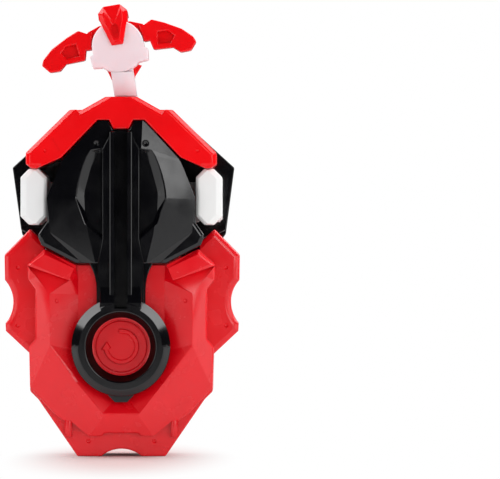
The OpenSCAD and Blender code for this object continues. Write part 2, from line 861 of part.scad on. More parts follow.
// Cheeks of the front plate that close the sides of the head beside the tongue
module cheeks() {
    cheek_in = tongue_x + slide_gap;
    cheek_out = 0.656 * head_x;
    both_sides()
        translate([cheek_in, -front_back - wall_unit, disc_z - 0.33 * head_x])
            cube([cheek_out - cheek_in, front_back + wall_unit + plate_front - slide_gap,
                0.13 * head_x]);
}

// Screws of the head
head_screw_r = 1.3;
head_boss_r = 2.9;
head_screw_tip = front_back;
head_screw_shares = [[0.5, -0.1], [0.42, 0.35]];
head_screw_places = [for (s = mirrored(head_screw_shares)) [s.x * head_x, disc_z + s.y * head_x]];

// Depths and bore of the inner frame
frame_front = 4.4 * wall_unit;
frame_back = plate_front - run_gap;
bush_r = 1.7 * shaft_r;
post_in = 0.66 * head_x;
post_out = post_in + post_w;
post_low = disc_z - 0.173 * head_x;
post_high = disc_z + 0.323 * head_x;
post_front = 12.5 * wall_unit;
post_corner = 2.8 * wall_unit;
window_in = post_in + 0.16 * post_w;
window_out = post_out;
window_low = disc_z - 0.147 * head_x;
window_high = disc_z + 0.211 * head_x;

// Eight-cornered outline of a post or a window
function post_outline(in, out, low, high, corner) = [
    [in + corner, low], [out - corner, low], [out, low + corner], [out, high - corner],
    [out - corner, high], [in + corner, high], [in, high - corner], [in, low + corner]
];

module inner_frame() {
    slot_w = 0.23 * post_w;
    slot_x = window_in + 0.68 * (window_out - window_in);
    post_side = post_outline(post_in, post_out, post_low, post_high, post_corner);
    post_face = post_outline(post_in + wall_unit, post_out - 2 * wall_unit, post_low + wall_unit / 2,
        post_high - wall_unit / 2, post_corner);
    color(white)
        placed()
            difference() {
                union() {
                    slab(frame_front, frame_back)
                        polygon(head_outline(frame_shares));
                    loft([post_face, post_side, post_side],
                        [-post_front, -post_front + wall_unit, frame_back]);
                    loft([flipped(post_face), flipped(post_side), flipped(post_side)],
                        [-post_front, -post_front + wall_unit, frame_back]);
                    both_sides()
                        slab(frame_back - over, plate_back + wall_unit)
                            polygon(inset(post_outline(window_in, window_out, window_low, window_high,
                                wall_unit), run_gap));
                    both_sides()
                        slab(frame_front, frame_back)
                            translate([0.5 * head_x, window_low])
                                square([post_in + wall_unit - 0.5 * head_x, window_high - window_low]);
                    both_sides()
                        translate([pin_x - ear_t, guide_y - 2 * guide_r, ear_top - 5 * guide_r])
                            cube([ear_t, frame_back - guide_y + 2 * guide_r, 5 * guide_r]);
                }
                rod(0, disc_z, bush_r + run_gap, frame_front - over, frame_back + over);
                for (p = head_screw_places)
                    rod(p.x, p.y, head_screw_r + slide_gap, frame_front - over, frame_back + over);
                both_sides()
                    translate([slot_x, 0, window_low + wall_unit * 2])
                        translate([-slot_w / 2, plate_back - 4 * wall_unit, 0])
                            cube([slot_w, 8 * wall_unit, window_high - window_low - 4 * wall_unit]);
                rotate([0, 90, 0])
                    translate([-guide_z, guide_y, -pin_x - over])
                        cylinder(r = guide_r + run_gap, h = 2 * (pin_x + over));
            }
}

module shaft_bush() {
    color(brass)
        placed()
            difference() {
                rod(0, disc_z, bush_r, frame_front + run_gap, collar_floor - run_gap);
                rod(0, disc_z, shaft_r + run_gap, frame_front - over, collar_floor + over);
            }
}

// Rear cover round the collar, drawn for the front, with its wide bevels
module housing_cover() {
    outline = head_outline(cover_shares);
    hull() {
        slab(-cover_back + 1.6 * wall_unit, -plate_back)
            polygon(outline);
        slab(-cover_back, -plate_back)
            polygon(inset(outline, 2.4 * wall_unit));
    }
}

module head_rear_housing() {
    tab = raised(scaled([[0.157, -0.827], [0.259, -0.69], [0.33, -0.56]], head_x, head_x), disc_z);
    color(dark)
        placed()
            difference() {
                union() {
                    slab(plate_front, plate_back + over)
                        polygon(head_outline(housing_shares));
                    mirror([0, 1, 0])
                        housing_cover();
                    turned_back(0, disc_z)
                        polygon([[0, plate_back], [collar_r, plate_back],
                            [collar_r, collar_back - 0.7 * wall_unit],
                            [collar_r - 0.5 * wall_unit, collar_back - 0.2 * wall_unit],
                            [collar_r - 0.8 * wall_unit, collar_back - 0.2 * wall_unit],
                            [collar_r - wall_unit, collar_back - 0.8 * wall_unit],
                            [collar_r - 1.4 * wall_unit, collar_back - 0.8 * wall_unit],
                            [collar_r - 1.6 * wall_unit, collar_back],
                            [collar_bore_r, collar_back], [collar_bore_r, collar_floor],
                            [0, collar_floor]]);
                    slab(arm_back, plate_back + wall_unit)
                        polygon(mirrored(tab));
                }
                rod(0, disc_z, collar_bore_r, collar_floor, collar_back + over);
                rod(0, disc_z, bush_r + run_gap, plate_front - over, collar_floor + over);
                both_sides()
                    slab(plate_front - over, collar_back + over)
                        polygon(post_outline(window_in, window_out, window_low, window_high,
                            wall_unit));
                for (p = head_screw_places) {
                    rod(p.x, p.y, head_screw_r + slide_gap, plate_front - over, collar_floor + over);
                    rod(p.x, p.y, casing_head_r + slide_gap, plate_back - wall_unit,
                        cover_back + over);
                }
            }
}

// String guide over the output gear
guide_r = 1.6;
guide_z = disc_z + 0.6 * head_x;
guide_y = -string_depth + string_d / 2 + guide_r + run_gap;
pin_x = 5.2;
ear_t = 2;
ear_top = guide_z + 2 * guide_r;

module guide_pin() {
    color(steel)
        placed()
            rotate([0, 90, 0])
                translate([-guide_z, guide_y, -pin_x + run_gap])
                    cylinder(r = guide_r, h = 2 * (pin_x - run_gap));
}

// Mouth of the cap, where the neck of the handle rests
mouth_x = 0.78 * neck_w;
mouth_y = neck_t / 2 + 1.3 * slide_gap;
eyelet_r = 1.8 * string_d;
eyelet_low = cap_top - 0.2 * head_x;

// Draws in only the outer corners of the cap, whose lower edge stays sharp
module top_cap() {
    cap_back = plate_front - slide_gap;
    cap_front = front_field + wall_unit / 2;
    cap_bevel = 1.4 * wall_unit;
    cap_corners = raised(scaled(cap_shares, head_x, head_x), disc_z);
    outline = head_outline(cap_shares);
    hollow_x = pin_x + slide_gap;
    color(red)
        placed()
            difference() {
                slab(-cap_front, cap_back)
                    polygon(outline);
                both_sides()
                    for (i = cap_edges)
                        edge_cut(cap_corners[i], cap_corners[i + 1], -cap_front,
                            cap_bevel, cap_bevel, cap_bevel);
                translate([-hollow_x, -front_field + 2 * wall_unit, guide_z])
                    cube([2 * hollow_x, front_field - 4 * wall_unit + cap_back, eyelet_low - guide_z]);
                translate([-hollow_x, -front_field + 2 * wall_unit, guide_z])
                    cube([2 * hollow_x, front_field + cap_back, ear_top + slide_gap - guide_z]);
                translate([-mouth_x, -mouth_y, mouth_floor])
                    cube([2 * mouth_x, 2 * mouth_y, 2 * (cap_top - mouth_floor)]);
                translate([0, 0, eyelet_low - over])
                    cylinder(r = eyelet_r + run_gap, h = cap_top - eyelet_low + over);
            }
}

module string_eyelet() {
    color(steel)
        placed()
            translate([0, 0, eyelet_low])
                difference() {
                    cylinder(r = eyelet_r, h = mouth_floor - eyelet_low);
                    translate([0, 0, -over])
                        cylinder(r = string_d / 2 + slide_gap, h = cap_top);
                }
}

module head_screws() {
    color(steel)
        placed()
            for (p = head_screw_places)
                cross_screw(p.x, p.y, head_screw_r, casing_head_r, casing_head_t,
                    -head_screw_tip, plate_back - wall_unit);
}

// Disc, revolved, with two curved slots and a hooked prong in each
boss_ring_r = 5.4;
boss_recess_r = 4.3;
disc_wall = 1.6;
seat_back = disc_face - 1.7 * wall_unit;
prong_t = 1.6;
prong_turn = 8;
slot_span = 40;
prong_span = 24;

// Flat sector of a ring about the disc axis
module ring_sector(inner, outer, middle, span) {
    polygon(concat(arc([0, 0], inner, middle + span / 2, middle - span / 2, 8),
        arc([0, 0], outer, middle - span / 2, middle + span / 2, 8)));
}

module launch_disc() {
    color(white)
        placed()
            union() {
                difference() {
                    turned_back(0, disc_z)
                        polygon([[shaft_r + run_gap, disc_under], [shaft_r + run_gap, seat_back],
                            [boss_recess_r, seat_back], [boss_recess_r, disc_face + wall_unit / 2],
                            [boss_ring_r, disc_face + wall_unit / 2],
                            [boss_ring_r + wall_unit / 4, disc_face],
                            [0.825 * disc_r, disc_face], [0.87 * disc_r, disc_rim - wall_unit / 4],
                            [0.945 * disc_r, disc_rim], [disc_r, disc_rim - wall_unit / 3],
                            [disc_r, disc_under], [disc_r - disc_wall, disc_under],
                            [disc_r - disc_wall, disc_face - disc_wall],
                            [boss_ring_r + disc_wall, disc_face - disc_wall],
                            [boss_ring_r + disc_wall, disc_under]]);
                    for (half = [0, 180])
                        translate([0, 0, disc_z])
                            slab(disc_under - over, disc_rim + over)
                                rotate(prong_turn + half)
                                    ring_sector(prong_r - 1.5 * prong_t, prong_r + 1.5 * prong_t, 0,
                                        slot_span);
                }
                for (half = [0, 180])
                    translate([0, 0, disc_z])
                        rotate([0, -prong_turn - half, 0])
                            prong();
            }
}

// One prong on the X axis with its hook and its foot on the disc
module prong() {
    slab(disc_face - disc_wall, prong_back)
        ring_sector(prong_r - prong_t / 2, prong_r + prong_t / 2, 0, prong_span);
    slab(prong_back - 1.5 * wall_unit, prong_back)
        ring_sector(prong_r - 1.4 * prong_t, prong_r + prong_t / 2, -prong_span / 4, prong_span / 2);
    slab(disc_face - disc_wall, disc_face)
        ring_sector(prong_r - 1.7 * prong_t, prong_r + 1.7 * prong_t, 0, prong_span / 2);
}

clip_t = 0.8;
clip_groove = 0.5;
clip_front = gear_half + slide_gap / 2;
shaft_front = clip_front + 2 * clip_t;
shaft_back = seat_back - run_gap;
centre_thread_r = 1.4;
centre_tip = frame_front + 4 * wall_unit;

module disc_shaft() {
    color(steel)
        placed()
            difference() {
                rod(0, disc_z, shaft_r, -shaft_front, shaft_back);
                rod(0, disc_z, centre_thread_r + run_gap, centre_tip - slide_gap, shaft_back + over);
                difference() {
                    rod(0, disc_z, shaft_r + over, -clip_front - clip_t, -clip_front);
                    rod(0, disc_z, shaft_r - clip_groove, -clip_front - 2 * clip_t, 0);
                }
            }
}

// An odd idler has a tooth upward, so the output gear then has a gap facing it
module output_gear() {
    color(white)
        placed()
            difference() {
                translate([0, 0, disc_z])
                    slab(-gear_half, gear_half)
                        rotate(-90 + 180 / output_teeth * (idler_teeth % 2))
                            polygon(gear_outline(output_teeth, backlash / 2));
                rod(0, disc_z, shaft_r + run_gap, -gear_t, gear_t);
            }
}

module shaft_clip() {
    color(steel)
        placed()
            difference() {
                rod(0, disc_z, shaft_r + 2 * clip_groove, -clip_front - clip_t + run_gap,
                    -clip_front - run_gap);
                rod(0, disc_z, shaft_r - clip_groove + run_gap, -shaft_front, 0);
                translate([-clip_groove, -shaft_front, disc_z])
                    cube([2 * clip_groove, shaft_front, 2 * shaft_r]);
            }
}

washer_t = 0.5;
centre_head_r = 3;
centre_head_t = 1.5;

module centre_washer() {
    color(steel)
        placed()
            difference() {
                rod(0, disc_z, boss_recess_r - slide_gap / 2, seat_back, seat_back + washer_t);
                rod(0, disc_z, centre_thread_r + run_gap, seat_back - over, seat_back + over);
            }
}

module centre_screw() {
    color(steel)
        placed()
            cross_screw(0, disc_z, centre_thread_r, centre_head_r, centre_head_t, centre_tip,
                seat_back + washer_t);
}

// Handle in its own frame, with the centre of the core at the origin and the neck down
core_t = 10.4;
bar_t = 4;
pad_t = 6.6;
keel_t = 16;
pocket_t = 2.2;
core_half = core_t / 2;
bar_half = bar_t / 2;
wing_half = pad_t / 2;
keel_back = core_half + run_gap;
keel_half = keel_t / 2;

module leaned() {
    translate([0, mid_y, lean_z])
        rotate([0, -handle_lean, 0])
            translate([0, 0, core_rise])
                children();
}

module handle_wings() {
    wing = scaled(wing_bar_shares, handle_x, handle_x);
    color(red)
        difference() {
            leaned()
                difference() {
                    union() {
                        both_sides()
                            difference() {
                                slab(-wing_half, wing_half)
                                    polygon(wing);
                                for (face = [-wing_half - over, wing_half - pocket_t])
                                    slab(face, face + pocket_t + over)
                                        polygon(scaled([[0.51, -0.04], [0.67, -0.055], [0.73, 0.03],
                                            [0.66, 0.1], [0.53, 0.11]], handle_x, handle_x));
                            }
                        slab(-bar_half, bar_half)
                            polygon(mirrored(scaled([[0.1, 0.03], [0.36, 0.02], [0.36, 0.24],
                                [0.2, 0.3]], handle_x, handle_x)));
                        slab(bar_half - wall_unit, bar_half + 2 * wall_unit)
                            polygon(mirrored(scaled([[0.17, -0.25], [0.17, 0.1]], handle_x, handle_x)));
                        slab(neck_t / 2 + slide_gap / 2, core_half - wall_unit / 2)
                            polygon(mirrored(scaled([[0.14, -0.44], [0.205, -0.23], [0.17, -0.1]],
                                handle_x, handle_x)));
                    }
                    rod(0, 0.2 * handle_x, pin_r + run_gap, -core_half, core_half);
                }
            knot_hollow();
        }
}

pin_r = 1;
knot_r = 1.5;
knot_z = lean_z + 0.29 * handle_x;

// Hollow for the knot and the string, which hang upright whatever the lean of the handle
module knot_hollow() {
    placed() {
        translate([0, 0, knot_z])
            sphere(r = knot_r + slide_gap, $fn = 24);
        cylinder(r = string_d / 2 + 1.5 * slide_gap, h = knot_z);
    }
}

module handle_core_front() {
    color(milky)
        handle_core_half(-1);
}

module handle_core_rear() {
    color(milky)
        handle_core_half(1);
}

// One half of the core: side is -1 for the front and 1 for the back
module handle_core_half(side) {
    y_near = side < 0 ? -core_half : 0;
    neck_near = side < 0 ? -neck_t / 2 : 0;
    difference() {
        leaned()
            difference() {
                union() {
                    slab(y_near, y_near + core_half)
                        union() {
                            circle(r = handle_core_r, $fn = 72);
                            polygon(mirrored(scaled([[0.28, -0.235], [0.36, -0.225],
                                [0.372, -0.08], [0.3, -0.04]], handle_x, handle_x)));
                        }
                    slab(neck_near, neck_near + neck_t / 2)
                        translate([-neck_w / 2, -handle_x])
                            square([neck_w, handle_x]);
                }
                slab(-bar_half - run_gap, bar_half + run_gap)
                    polygon(mirrored(scaled([[0.11, 0.02], [0.4, 0.01], [0.4, 0.25],
                        [0.21, 0.31]], handle_x, handle_x)));
                slab(bar_half - 2 * wall_unit, bar_half + 2.05 * wall_unit)
                    polygon(mirrored(scaled([[0.18, -0.26], [0.18, 0.11]], handle_x, handle_x)));
                slab(neck_t / 2 + slide_gap / 4, core_half - 0.45 * wall_unit)
                    polygon(mirrored(scaled([[0.15, -0.5], [0.215, -0.23], [0.18, -0.09]],
                        handle_x, handle_x)));
                rod(0, 0.2 * handle_x, pin_r + run_gap, -core_half - over, core_half + over);
            }
        knot_hollow();
        translate([-handle_x, mid_y - handle_x, -handle_x])
            cube([handle_span, handle_span, mouth_floor + slide_gap + handle_x]);
    }
}

// Keel on one face of the core, drawn for the front
module keel() {
    outline = mirrored(scaled(keel_shares, handle_x, handle_x));
    difference() {
        union() {
            loft([inset(outline, 0.055 * handle_x), outline, outline],
                [-keel_half, -core_half - wall_unit, -keel_back]);
            slab(-keel_back - over, -run_gap)
                polygon(mirrored(scaled([[0.187, 0.36], [0.187, 0.447], [0.107, 0.527]],
                    handle_x, handle_x)));
        }
        hull() {
            slab(-keel_half - over, -keel_half)
                polygon(mirrored(scaled([[0, 0.27], [0.115, 0.46], [0.09, 0.56]], handle_x, handle_x)));
            slab(-keel_half - over, -keel_half + 1.2 * wall_unit)
                polygon(mirrored(scaled([[0.1, 0.5], [0.09, 0.56]], handle_x, handle_x)));
        }
        slab(-keel_half - over, -keel_half + 0.8 * wall_unit)
            translate([0, 0.17 * handle_x])
                scale([0.7, 1])
                    circle(r = 0.065 * handle_x, $fn = 24);
    }
}

module handle_keel_front() {
    color(red)
        leaned()
            difference() {
                keel();
                rod(0, 0.2 * handle_x, pin_r + run_gap, -core_half - wall_unit, 0);
            }
}

module handle_keel_rear() {
    color(red)
        leaned()
            mirror([0, 1, 0])
                difference() {
                    keel();
                    rod(0, 0.2 * handle_x, pin_r + run_gap, -core_half - wall_unit, 0);
                }
}

module handle_pin() {
    reach = core_half + wall_unit - run_gap;
    color(steel)
        leaned()
            rod(0, 0.2 * handle_x, pin_r, -reach, reach);
}

// Knot of the string inside the core
module string_knot() {
    color(cord)
        placed()
            translate([0, 0, knot_z])
                sphere(r = knot_r, $fn = 24);
}

// Round cord through a list of points
module cord_run(points) {
    sides = 8;
    n = len(points);
    rings = [for (i = [0 : n - 1])
        let (
            ahead = points[min(i + 1, n - 1)] - points[max(i - 1, 0)],
            along = ahead / norm(ahead),
            across = cross(along, [0, 1, 0]) / norm(cross(along, [0, 1, 0])),
            up = cross(across, along)
        )
        for (k = [0 : sides - 1])
            points[i] + string_d / 2 * (across * cos(360 * k / sides) + up * sin(360 * k / sides))];
    ends = [[for (k = [sides - 1 : -1 : 0]) k], [for (k = [0 : sides - 1]) (n - 1) * sides + k]];
    walls = [for (i = [0 : n - 2]) for (k = [0 : sides - 1])
        let (a = i * sides + k, b = i * sides + (k + 1) % sides)
        each [[a, b, b + sides], [a, b + sides, a + sides]]];
    polyhedron(rings, concat(ends, walls));
}

// The string leaves the winding on its left and leans to the guide pin in the string plane
winding_out = winding_r + string_d / 2 + run_gap;
run_end = [0, -string_depth, guide_z - guide_r];
string_lean = asin(winding_out / (run_end.z - drum_z));
run_start = [-winding_out * cos(string_lean), -string_depth, drum_z + winding_out * sin(string_lean)];

module string_lower_run() {
    color(cord)
        placed()
            cord_run([run_start, run_end]);
}

module string_guide_run() {
    wrap_r = guide_r + run_gap + string_d / 2;
    leave = 60;
    color(cord)
        placed()
            cord_run(concat(
                [[0, -string_depth, run_end.z + slide_gap]],
                [for (a = [0 : 10 : leave])
                    [0, guide_y - wrap_r * cos(a), guide_z + wrap_r * sin(a)]],
                [[0, 0, eyelet_low - string_d], [0, 0, eyelet_low + string_d],
                    [0, 0, mouth_floor - run_gap]]
            ));
}

module string_outer_run() {
    color(cord)
        placed()
            translate([0, 0, mouth_floor + run_gap])
                cylinder(r = string_d / 2, h = knot_z - knot_r - mouth_floor - 2 * run_gap);
}

body_front_shell();
body_rear_shell();
body_screws();
drum_axle();
idler_axle();
return_spring();
spring_cover();
string_drum();
drum_gear();
wound_string();
idler_gear();
head_front_plate();
head_rear_housing();
top_cap();
inner_frame();
shaft_bush();
guide_pin();
string_eyelet();
head_screws();
string_lower_run();
string_guide_run();
launch_disc();
disc_shaft();
output_gear();
shaft_clip();
centre_washer();
centre_screw();
handle_wings();
handle_core_front();
handle_core_rear();
handle_keel_front();
handle_keel_rear();
handle_pin();
string_knot();
string_outer_run();
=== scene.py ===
"""Spinning top launcher with a pull string: its looks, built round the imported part.

Metres, +Z up. The front with the arm and the ring faces -Y and the feet stand on Z = 0.
"""

import math

import bpy
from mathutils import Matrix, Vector
from mathutils.geometry import intersect_point_line


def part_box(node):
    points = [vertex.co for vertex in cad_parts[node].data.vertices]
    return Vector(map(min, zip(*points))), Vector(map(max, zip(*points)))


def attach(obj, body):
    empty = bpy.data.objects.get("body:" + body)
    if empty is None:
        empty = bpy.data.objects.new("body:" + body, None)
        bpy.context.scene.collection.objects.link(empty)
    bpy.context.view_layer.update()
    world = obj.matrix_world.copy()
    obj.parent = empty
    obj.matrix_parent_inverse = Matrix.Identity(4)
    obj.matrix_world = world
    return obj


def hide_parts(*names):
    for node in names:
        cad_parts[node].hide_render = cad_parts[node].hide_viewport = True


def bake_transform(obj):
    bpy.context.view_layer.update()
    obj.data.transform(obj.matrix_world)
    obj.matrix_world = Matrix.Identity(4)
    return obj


MM = 0.001
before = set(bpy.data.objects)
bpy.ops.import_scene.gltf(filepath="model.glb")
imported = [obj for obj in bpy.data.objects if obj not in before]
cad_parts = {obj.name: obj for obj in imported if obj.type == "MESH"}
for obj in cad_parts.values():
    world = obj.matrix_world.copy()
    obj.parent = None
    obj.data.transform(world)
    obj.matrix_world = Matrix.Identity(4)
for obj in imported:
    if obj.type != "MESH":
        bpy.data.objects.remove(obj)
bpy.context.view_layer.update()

# Heights in millimetres: the axis that the drum, the ring and both circles share, and the disc's axis
DRUM_Z = 36.6
DISC_Z = 83.6

# Cleaning of the CAD meshes
SAME_SPOT = 0.002 * MM
LOOSE_CORNERS = 0.004 * MM
SHORT_EDGES = 0.05 * MM
FLAT_TURN = math.radians(0.4)
CREASE_TURN = math.radians(8)
SPLIT_NORMALS = math.radians(2)

# Rounding of edges: turns, steps, and the share of a face's width that a rounding may take
OUTER_TURN = math.radians(24)
FOLD_TURN = math.radians(135)
ROUND_STEPS = 2
ROUND_TRIES = 6
ALONE = 0.9
SHARED = 0.45
AT_CORNER = 0.48
LEAST_SINE = 0.3
MOST_OPEN = 4
NEAR_STRAIGHT = 3.1
NEAR_GAP = 2.2
BESIDE = 0.02
NO_LENGTH = 1e-14
LEAST_ROUNDING = 0.05 * MM
LAST_ROUNDING = 0.03 * MM

# Turn above which an edge that a cutter leaves stays crisp
CRISP_TURN = math.radians(40)


# Tools of the workbench

def take(piece):
    """Leaves one piece selected and active."""
    if bpy.context.mode != "OBJECT":
        bpy.ops.object.mode_set(mode="OBJECT")
    bpy.ops.object.select_all(action="DESELECT")
    piece.select_set(True)
    bpy.context.view_layer.objects.active = piece


def edit(piece, everything=True):
    """Opens a piece in edit mode with all or nothing of it selected."""
    take(piece)
    bpy.ops.object.mode_set(mode="EDIT")
    bpy.ops.mesh.select_mode(type="VERT")
    bpy.ops.mesh.select_all(action="SELECT" if everything else "DESELECT")


def close():
    bpy.ops.object.mode_set(mode="OBJECT")


def named(name):
    """Names the piece that an operator has just added, and puts its place in its mesh."""
    piece = bpy.context.active_object
    piece.name = name
    piece.data.name = name
    bpy.ops.object.transform_apply(location=True, rotation=True, scale=True)
    return piece


def edge_key(a, b):
    return (min(a, b), max(a, b))


def mark_creases(mesh):
    """Marks as sharp the edges where the CAD surface turns, while its corners still have their normals."""
    sides = {}
    for face in mesh.polygons:
        loops = list(face.loop_indices)
        for here, on in zip(loops, loops[1:] + loops[:1]):
            ends = []
            for loop in (here, on):
                place = mesh.vertices[mesh.loops[loop].vertex_index].co
                spot = tuple(round(c / SAME_SPOT) for c in place)
                ends.append((spot, mesh.corner_normals[loop].vector.copy()))
            ends.sort(key=lambda end: end[0])
            key = (ends[0][0], ends[1][0])
            side = (mesh.loops[here].edge_index, face.normal.copy(), ends[0][1], ends[1][1])
            sides.setdefault(key, []).append(side)
    for found in sides.values():
        turns = len(found) != 2
        if not turns:
            one, other = found
            split = max(one[2].angle(other[2], 0), one[3].angle(other[3], 0)) > SPLIT_NORMALS
            turns = split and one[1].angle(other[1], 0) > CREASE_TURN
        for side in found:
            mesh.edges[side[0]].use_edge_sharp = turns


def moulding(node, name):
    """Copies a CAD node, keeps its creases and merges its loose triangles into flat faces."""
    piece = bpy.data.objects.new(name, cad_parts[node].data.copy())
    piece.data.name = name
    bpy.context.scene.collection.objects.link(piece)
    mark_creases(piece.data)
    take(piece)
    bpy.ops.mesh.customdata_custom_splitnormals_clear()
    edit(piece)
    bpy.ops.mesh.remove_doubles(threshold=LOOSE_CORNERS)
    bpy.ops.mesh.dissolve_limited(angle_limit=FLAT_TURN)
    bpy.ops.mesh.select_all(action="SELECT")
    bpy.ops.mesh.remove_doubles(threshold=SHORT_EDGES)
    close()
    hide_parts(node)
    return piece


def edge_sides(mesh):
    """For each edge that two faces share: their normals, and the way that the first runs along it."""
    sides = {}
    for face in mesh.polygons:
        ring = list(face.vertices)
        for a, b in zip(ring, ring[1:] + ring[:1]):
            sides.setdefault(edge_key(a, b), []).append((face.normal, a, b))
    return {key: faces for key, faces in sides.items() if len(faces) == 2}


def outer_edges(mesh):
    """Keys of the edges that stick out and turn enough to be rounded."""
    found = set()
    for key, ((one, a, b), (other, _, _)) in edge_sides(mesh).items():
        along = mesh.vertices[b].co - mesh.vertices[a].co
        if one.angle(other, 0) > OUTER_TURN and one.cross(other).dot(along) > 0:
            found.add(key)
    return found


def folds(mesh):
    """Places where a face turns back over its neighbour."""
    return [(mesh.vertices[a].co + mesh.vertices[b].co) / 2
            for (one, a, b), (other, _, _) in edge_sides(mesh).values()
            if one.angle(other, 0) > FOLD_TURN]


def narrow_places(mesh, ring, room, held, width):
    """Lowers the room where another corner of the same face lies close beside an edge."""
    spots = {i: mesh.vertices[i].co for i in ring}
    for a, b in zip(ring, ring[1:] + ring[:1]):
        start, along = spots[a], spots[b] - spots[a]
        length = along.length_squared
        if length < NO_LENGTH:
            continue
        key = edge_key(a, b)
        for c in ring:
            if c == a or c == b or not (key in room or c in held):
                continue
            share = (spots[c] - start).dot(along) / length
            if not BESIDE < share < 1 - BESIDE:
                continue
            gap = (spots[c] - start - along * share).length
            if gap > NEAR_GAP * width:
                continue
            fit = (SHARED if key in room and c in held else ALONE) * gap
            if key in room:
                room[key] = min(room[key], fit)
            for other in edges_at(c, ring):
                if other in room:
                    room[other] = min(room[other], fit)


def edges_at(corner, ring):
    i = ring.index(corner)
    return edge_key(corner, ring[i - 1]), edge_key(corner, ring[(i + 1) % len(ring)])


def room_to_round(mesh, edges, width):
    """How wide each of the edges may be rounded before it meets its neighbours on a face."""
    room = {key: width for key in edges}
    held = {end for key in edges for end in key}
    for face in mesh.polygons:
        ring = list(face.vertices)
        for i, here in enumerate(ring):
            back, on = ring[i - 1], ring[(i + 1) % len(ring)]
            a = mesh.vertices[back].co - mesh.vertices[here].co
            b = mesh.vertices[on].co - mesh.vertices[here].co
            turn = a.angle(b, 0)
            open_by = min(math.tan(min(turn, NEAR_STRAIGHT) / 2), MOST_OPEN)
            first, second = edge_key(here, back), edge_key(here, on)
            if first in room and second in room:
                fit = AT_CORNER * min(a.length, b.length) * open_by
                room[first] = min(room[first], fit)
                room[second] = min(room[second], fit)
            elif first in room:
                share = SHARED if on in held else ALONE
                room[first] = min(room[first], share * b.length * max(math.sin(turn), LEAST_SINE))
            elif second in room:
                share = SHARED if back in held else ALONE
                room[second] = min(room[second], share * a.length * max(math.sin(turn), LEAST_SINE))
        if any(edge_key(a, b) in room for a, b in zip(ring, ring[1:] + ring[:1])):
            narrow_places(mesh, ring, room, held, width)
    return room


def shade(piece):
    """Shades smooth between the creases, with the large faces kept flat."""
    take(piece)
    bpy.ops.object.shade_smooth(keep_sharp_edges=True)
    bpy.ops.object.modifier_add(type="WEIGHTED_NORMAL")
    piece.modifiers[-1].keep_sharp = True
    bpy.ops.object.modifier_apply(modifier=piece.modifiers[-1].name)


def bevelled_copy(piece, plain, room, width):
    """Gives the piece a bevelled copy of its plain mesh, with its own width on each edge."""
    piece.data = plain.copy()
    weights = piece.data.attributes.new("bevel_weight_edge", "FLOAT", "EDGE")
    for edge in piece.data.edges:
        weights.data[edge.index].value = room.get(edge_key(*edge.vertices), 0) / width
    take(piece)
    bpy.ops.object.modifier_add(type="BEVEL")
    rounding = piece.modifiers[-1]
    rounding.width = width
    rounding.segments = ROUND_STEPS
    rounding.limit_method = "WEIGHT"
    rounding.use_clamp_overlap = False
    bpy.ops.object.modifier_apply(modifier=rounding.name)


def narrow_at_folds(plain, room, found, factor):
    """Narrows the rounding of the edges beside which a face has folded."""
    for key in room:
        start, end = [plain.vertices[i].co for i in key]
        reach = 0.2 * MM + room[key] * 1.5
        for spot in found:
            near, share = intersect_point_line(spot, start, end)
            near = start.lerp(end, min(max(share, 0), 1))
            if (near - spot).length < reach:
                room[key] *= factor
                break


def round_edges(piece, width):
    """Rounds each outer edge as a mould leaves it, less wherever the rounding would fold a face."""
    width = width * MM
    plain = piece.data
    edges = outer_edges(plain)
    for _ in range(3):
        room = room_to_round(plain, edges, width)
        edges = {key for key, fit in room.items() if fit > LEAST_ROUNDING}
    room = {key: fit for key, fit in room.items() if key in edges}
    known = len(folds(plain))
    for attempt in range(ROUND_TRIES):
        bevelled_copy(piece, plain, room, width)
        found = folds(piece.data)
        if len(found) <= known:
            break
        narrow_at_folds(plain, room, found, 0.3 if attempt < ROUND_TRIES - 2 else 0)
        room = {key: fit for key, fit in room.items() if fit > LAST_ROUNDING}


def block(name, low, high):
    """A box between two corners in millimetres, as a start for a cutter or an insert."""
    middle = [(a + b) / 2 * MM for a, b in zip(low, high)]
    size = [(b - a) * MM for a, b in zip(low, high)]
    bpy.ops.object.select_all(action="DESELECT")
    bpy.ops.mesh.primitive_cube_add(size=1, location=middle, scale=size)
    return named(name)


def prism(name, outline, front, back):
    """A straight form with an outline in X and Z, between two distances along Y, in millimetres."""
    bpy.ops.object.select_all(action="DESELECT")
    bpy.ops.mesh.primitive_circle_add(vertices=len(outline), radius=MM, fill_type="NGON")
    piece = named(name)
    for v, (x, z) in zip(piece.data.vertices, outline):
        v.co = Vector((x, front, z)) * MM
    edit(piece)
    bpy.ops.mesh.extrude_region_move(TRANSFORM_OT_translate={"value": (0, (back - front) * MM, 0)})
    bpy.ops.mesh.select_all(action="SELECT")
    bpy.ops.mesh.normals_make_consistent(inside=False)
    close()
    return piece


def turned(name, profile, axis, start, end, steps):
    """A form turned about an axis along Y from a profile of radius and Y, between two angles."""
    bpy.ops.object.select_all(action="DESELECT")
    bpy.ops.mesh.primitive_circle_add(vertices=len(profile), radius=MM, fill_type="NGON")
    piece = named(name)
    lean = math.radians(start)
    for v, (radius, y) in zip(piece.data.vertices, profile):
        v.co = Vector((axis[0] + radius * math.cos(lean), y, axis[1] + radius * math.sin(lean))) * MM
    edit(piece)
    bpy.ops.mesh.spin(steps=steps, angle=math.radians(end - start), axis=(0, 1, 0),
                      center=(axis[0] * MM, 0, axis[1] * MM))
    bpy.ops.mesh.select_all(action="SELECT")
    bpy.ops.mesh.remove_doubles(threshold=0.001 * MM)
    bpy.ops.mesh.normals_make_consistent(inside=False)
    close()
    return piece


def add_to(piece, *others):
    """Makes the others part of a piece."""
    take(piece)
    for other in others:
        other.select_set(True)
    bpy.ops.object.join()


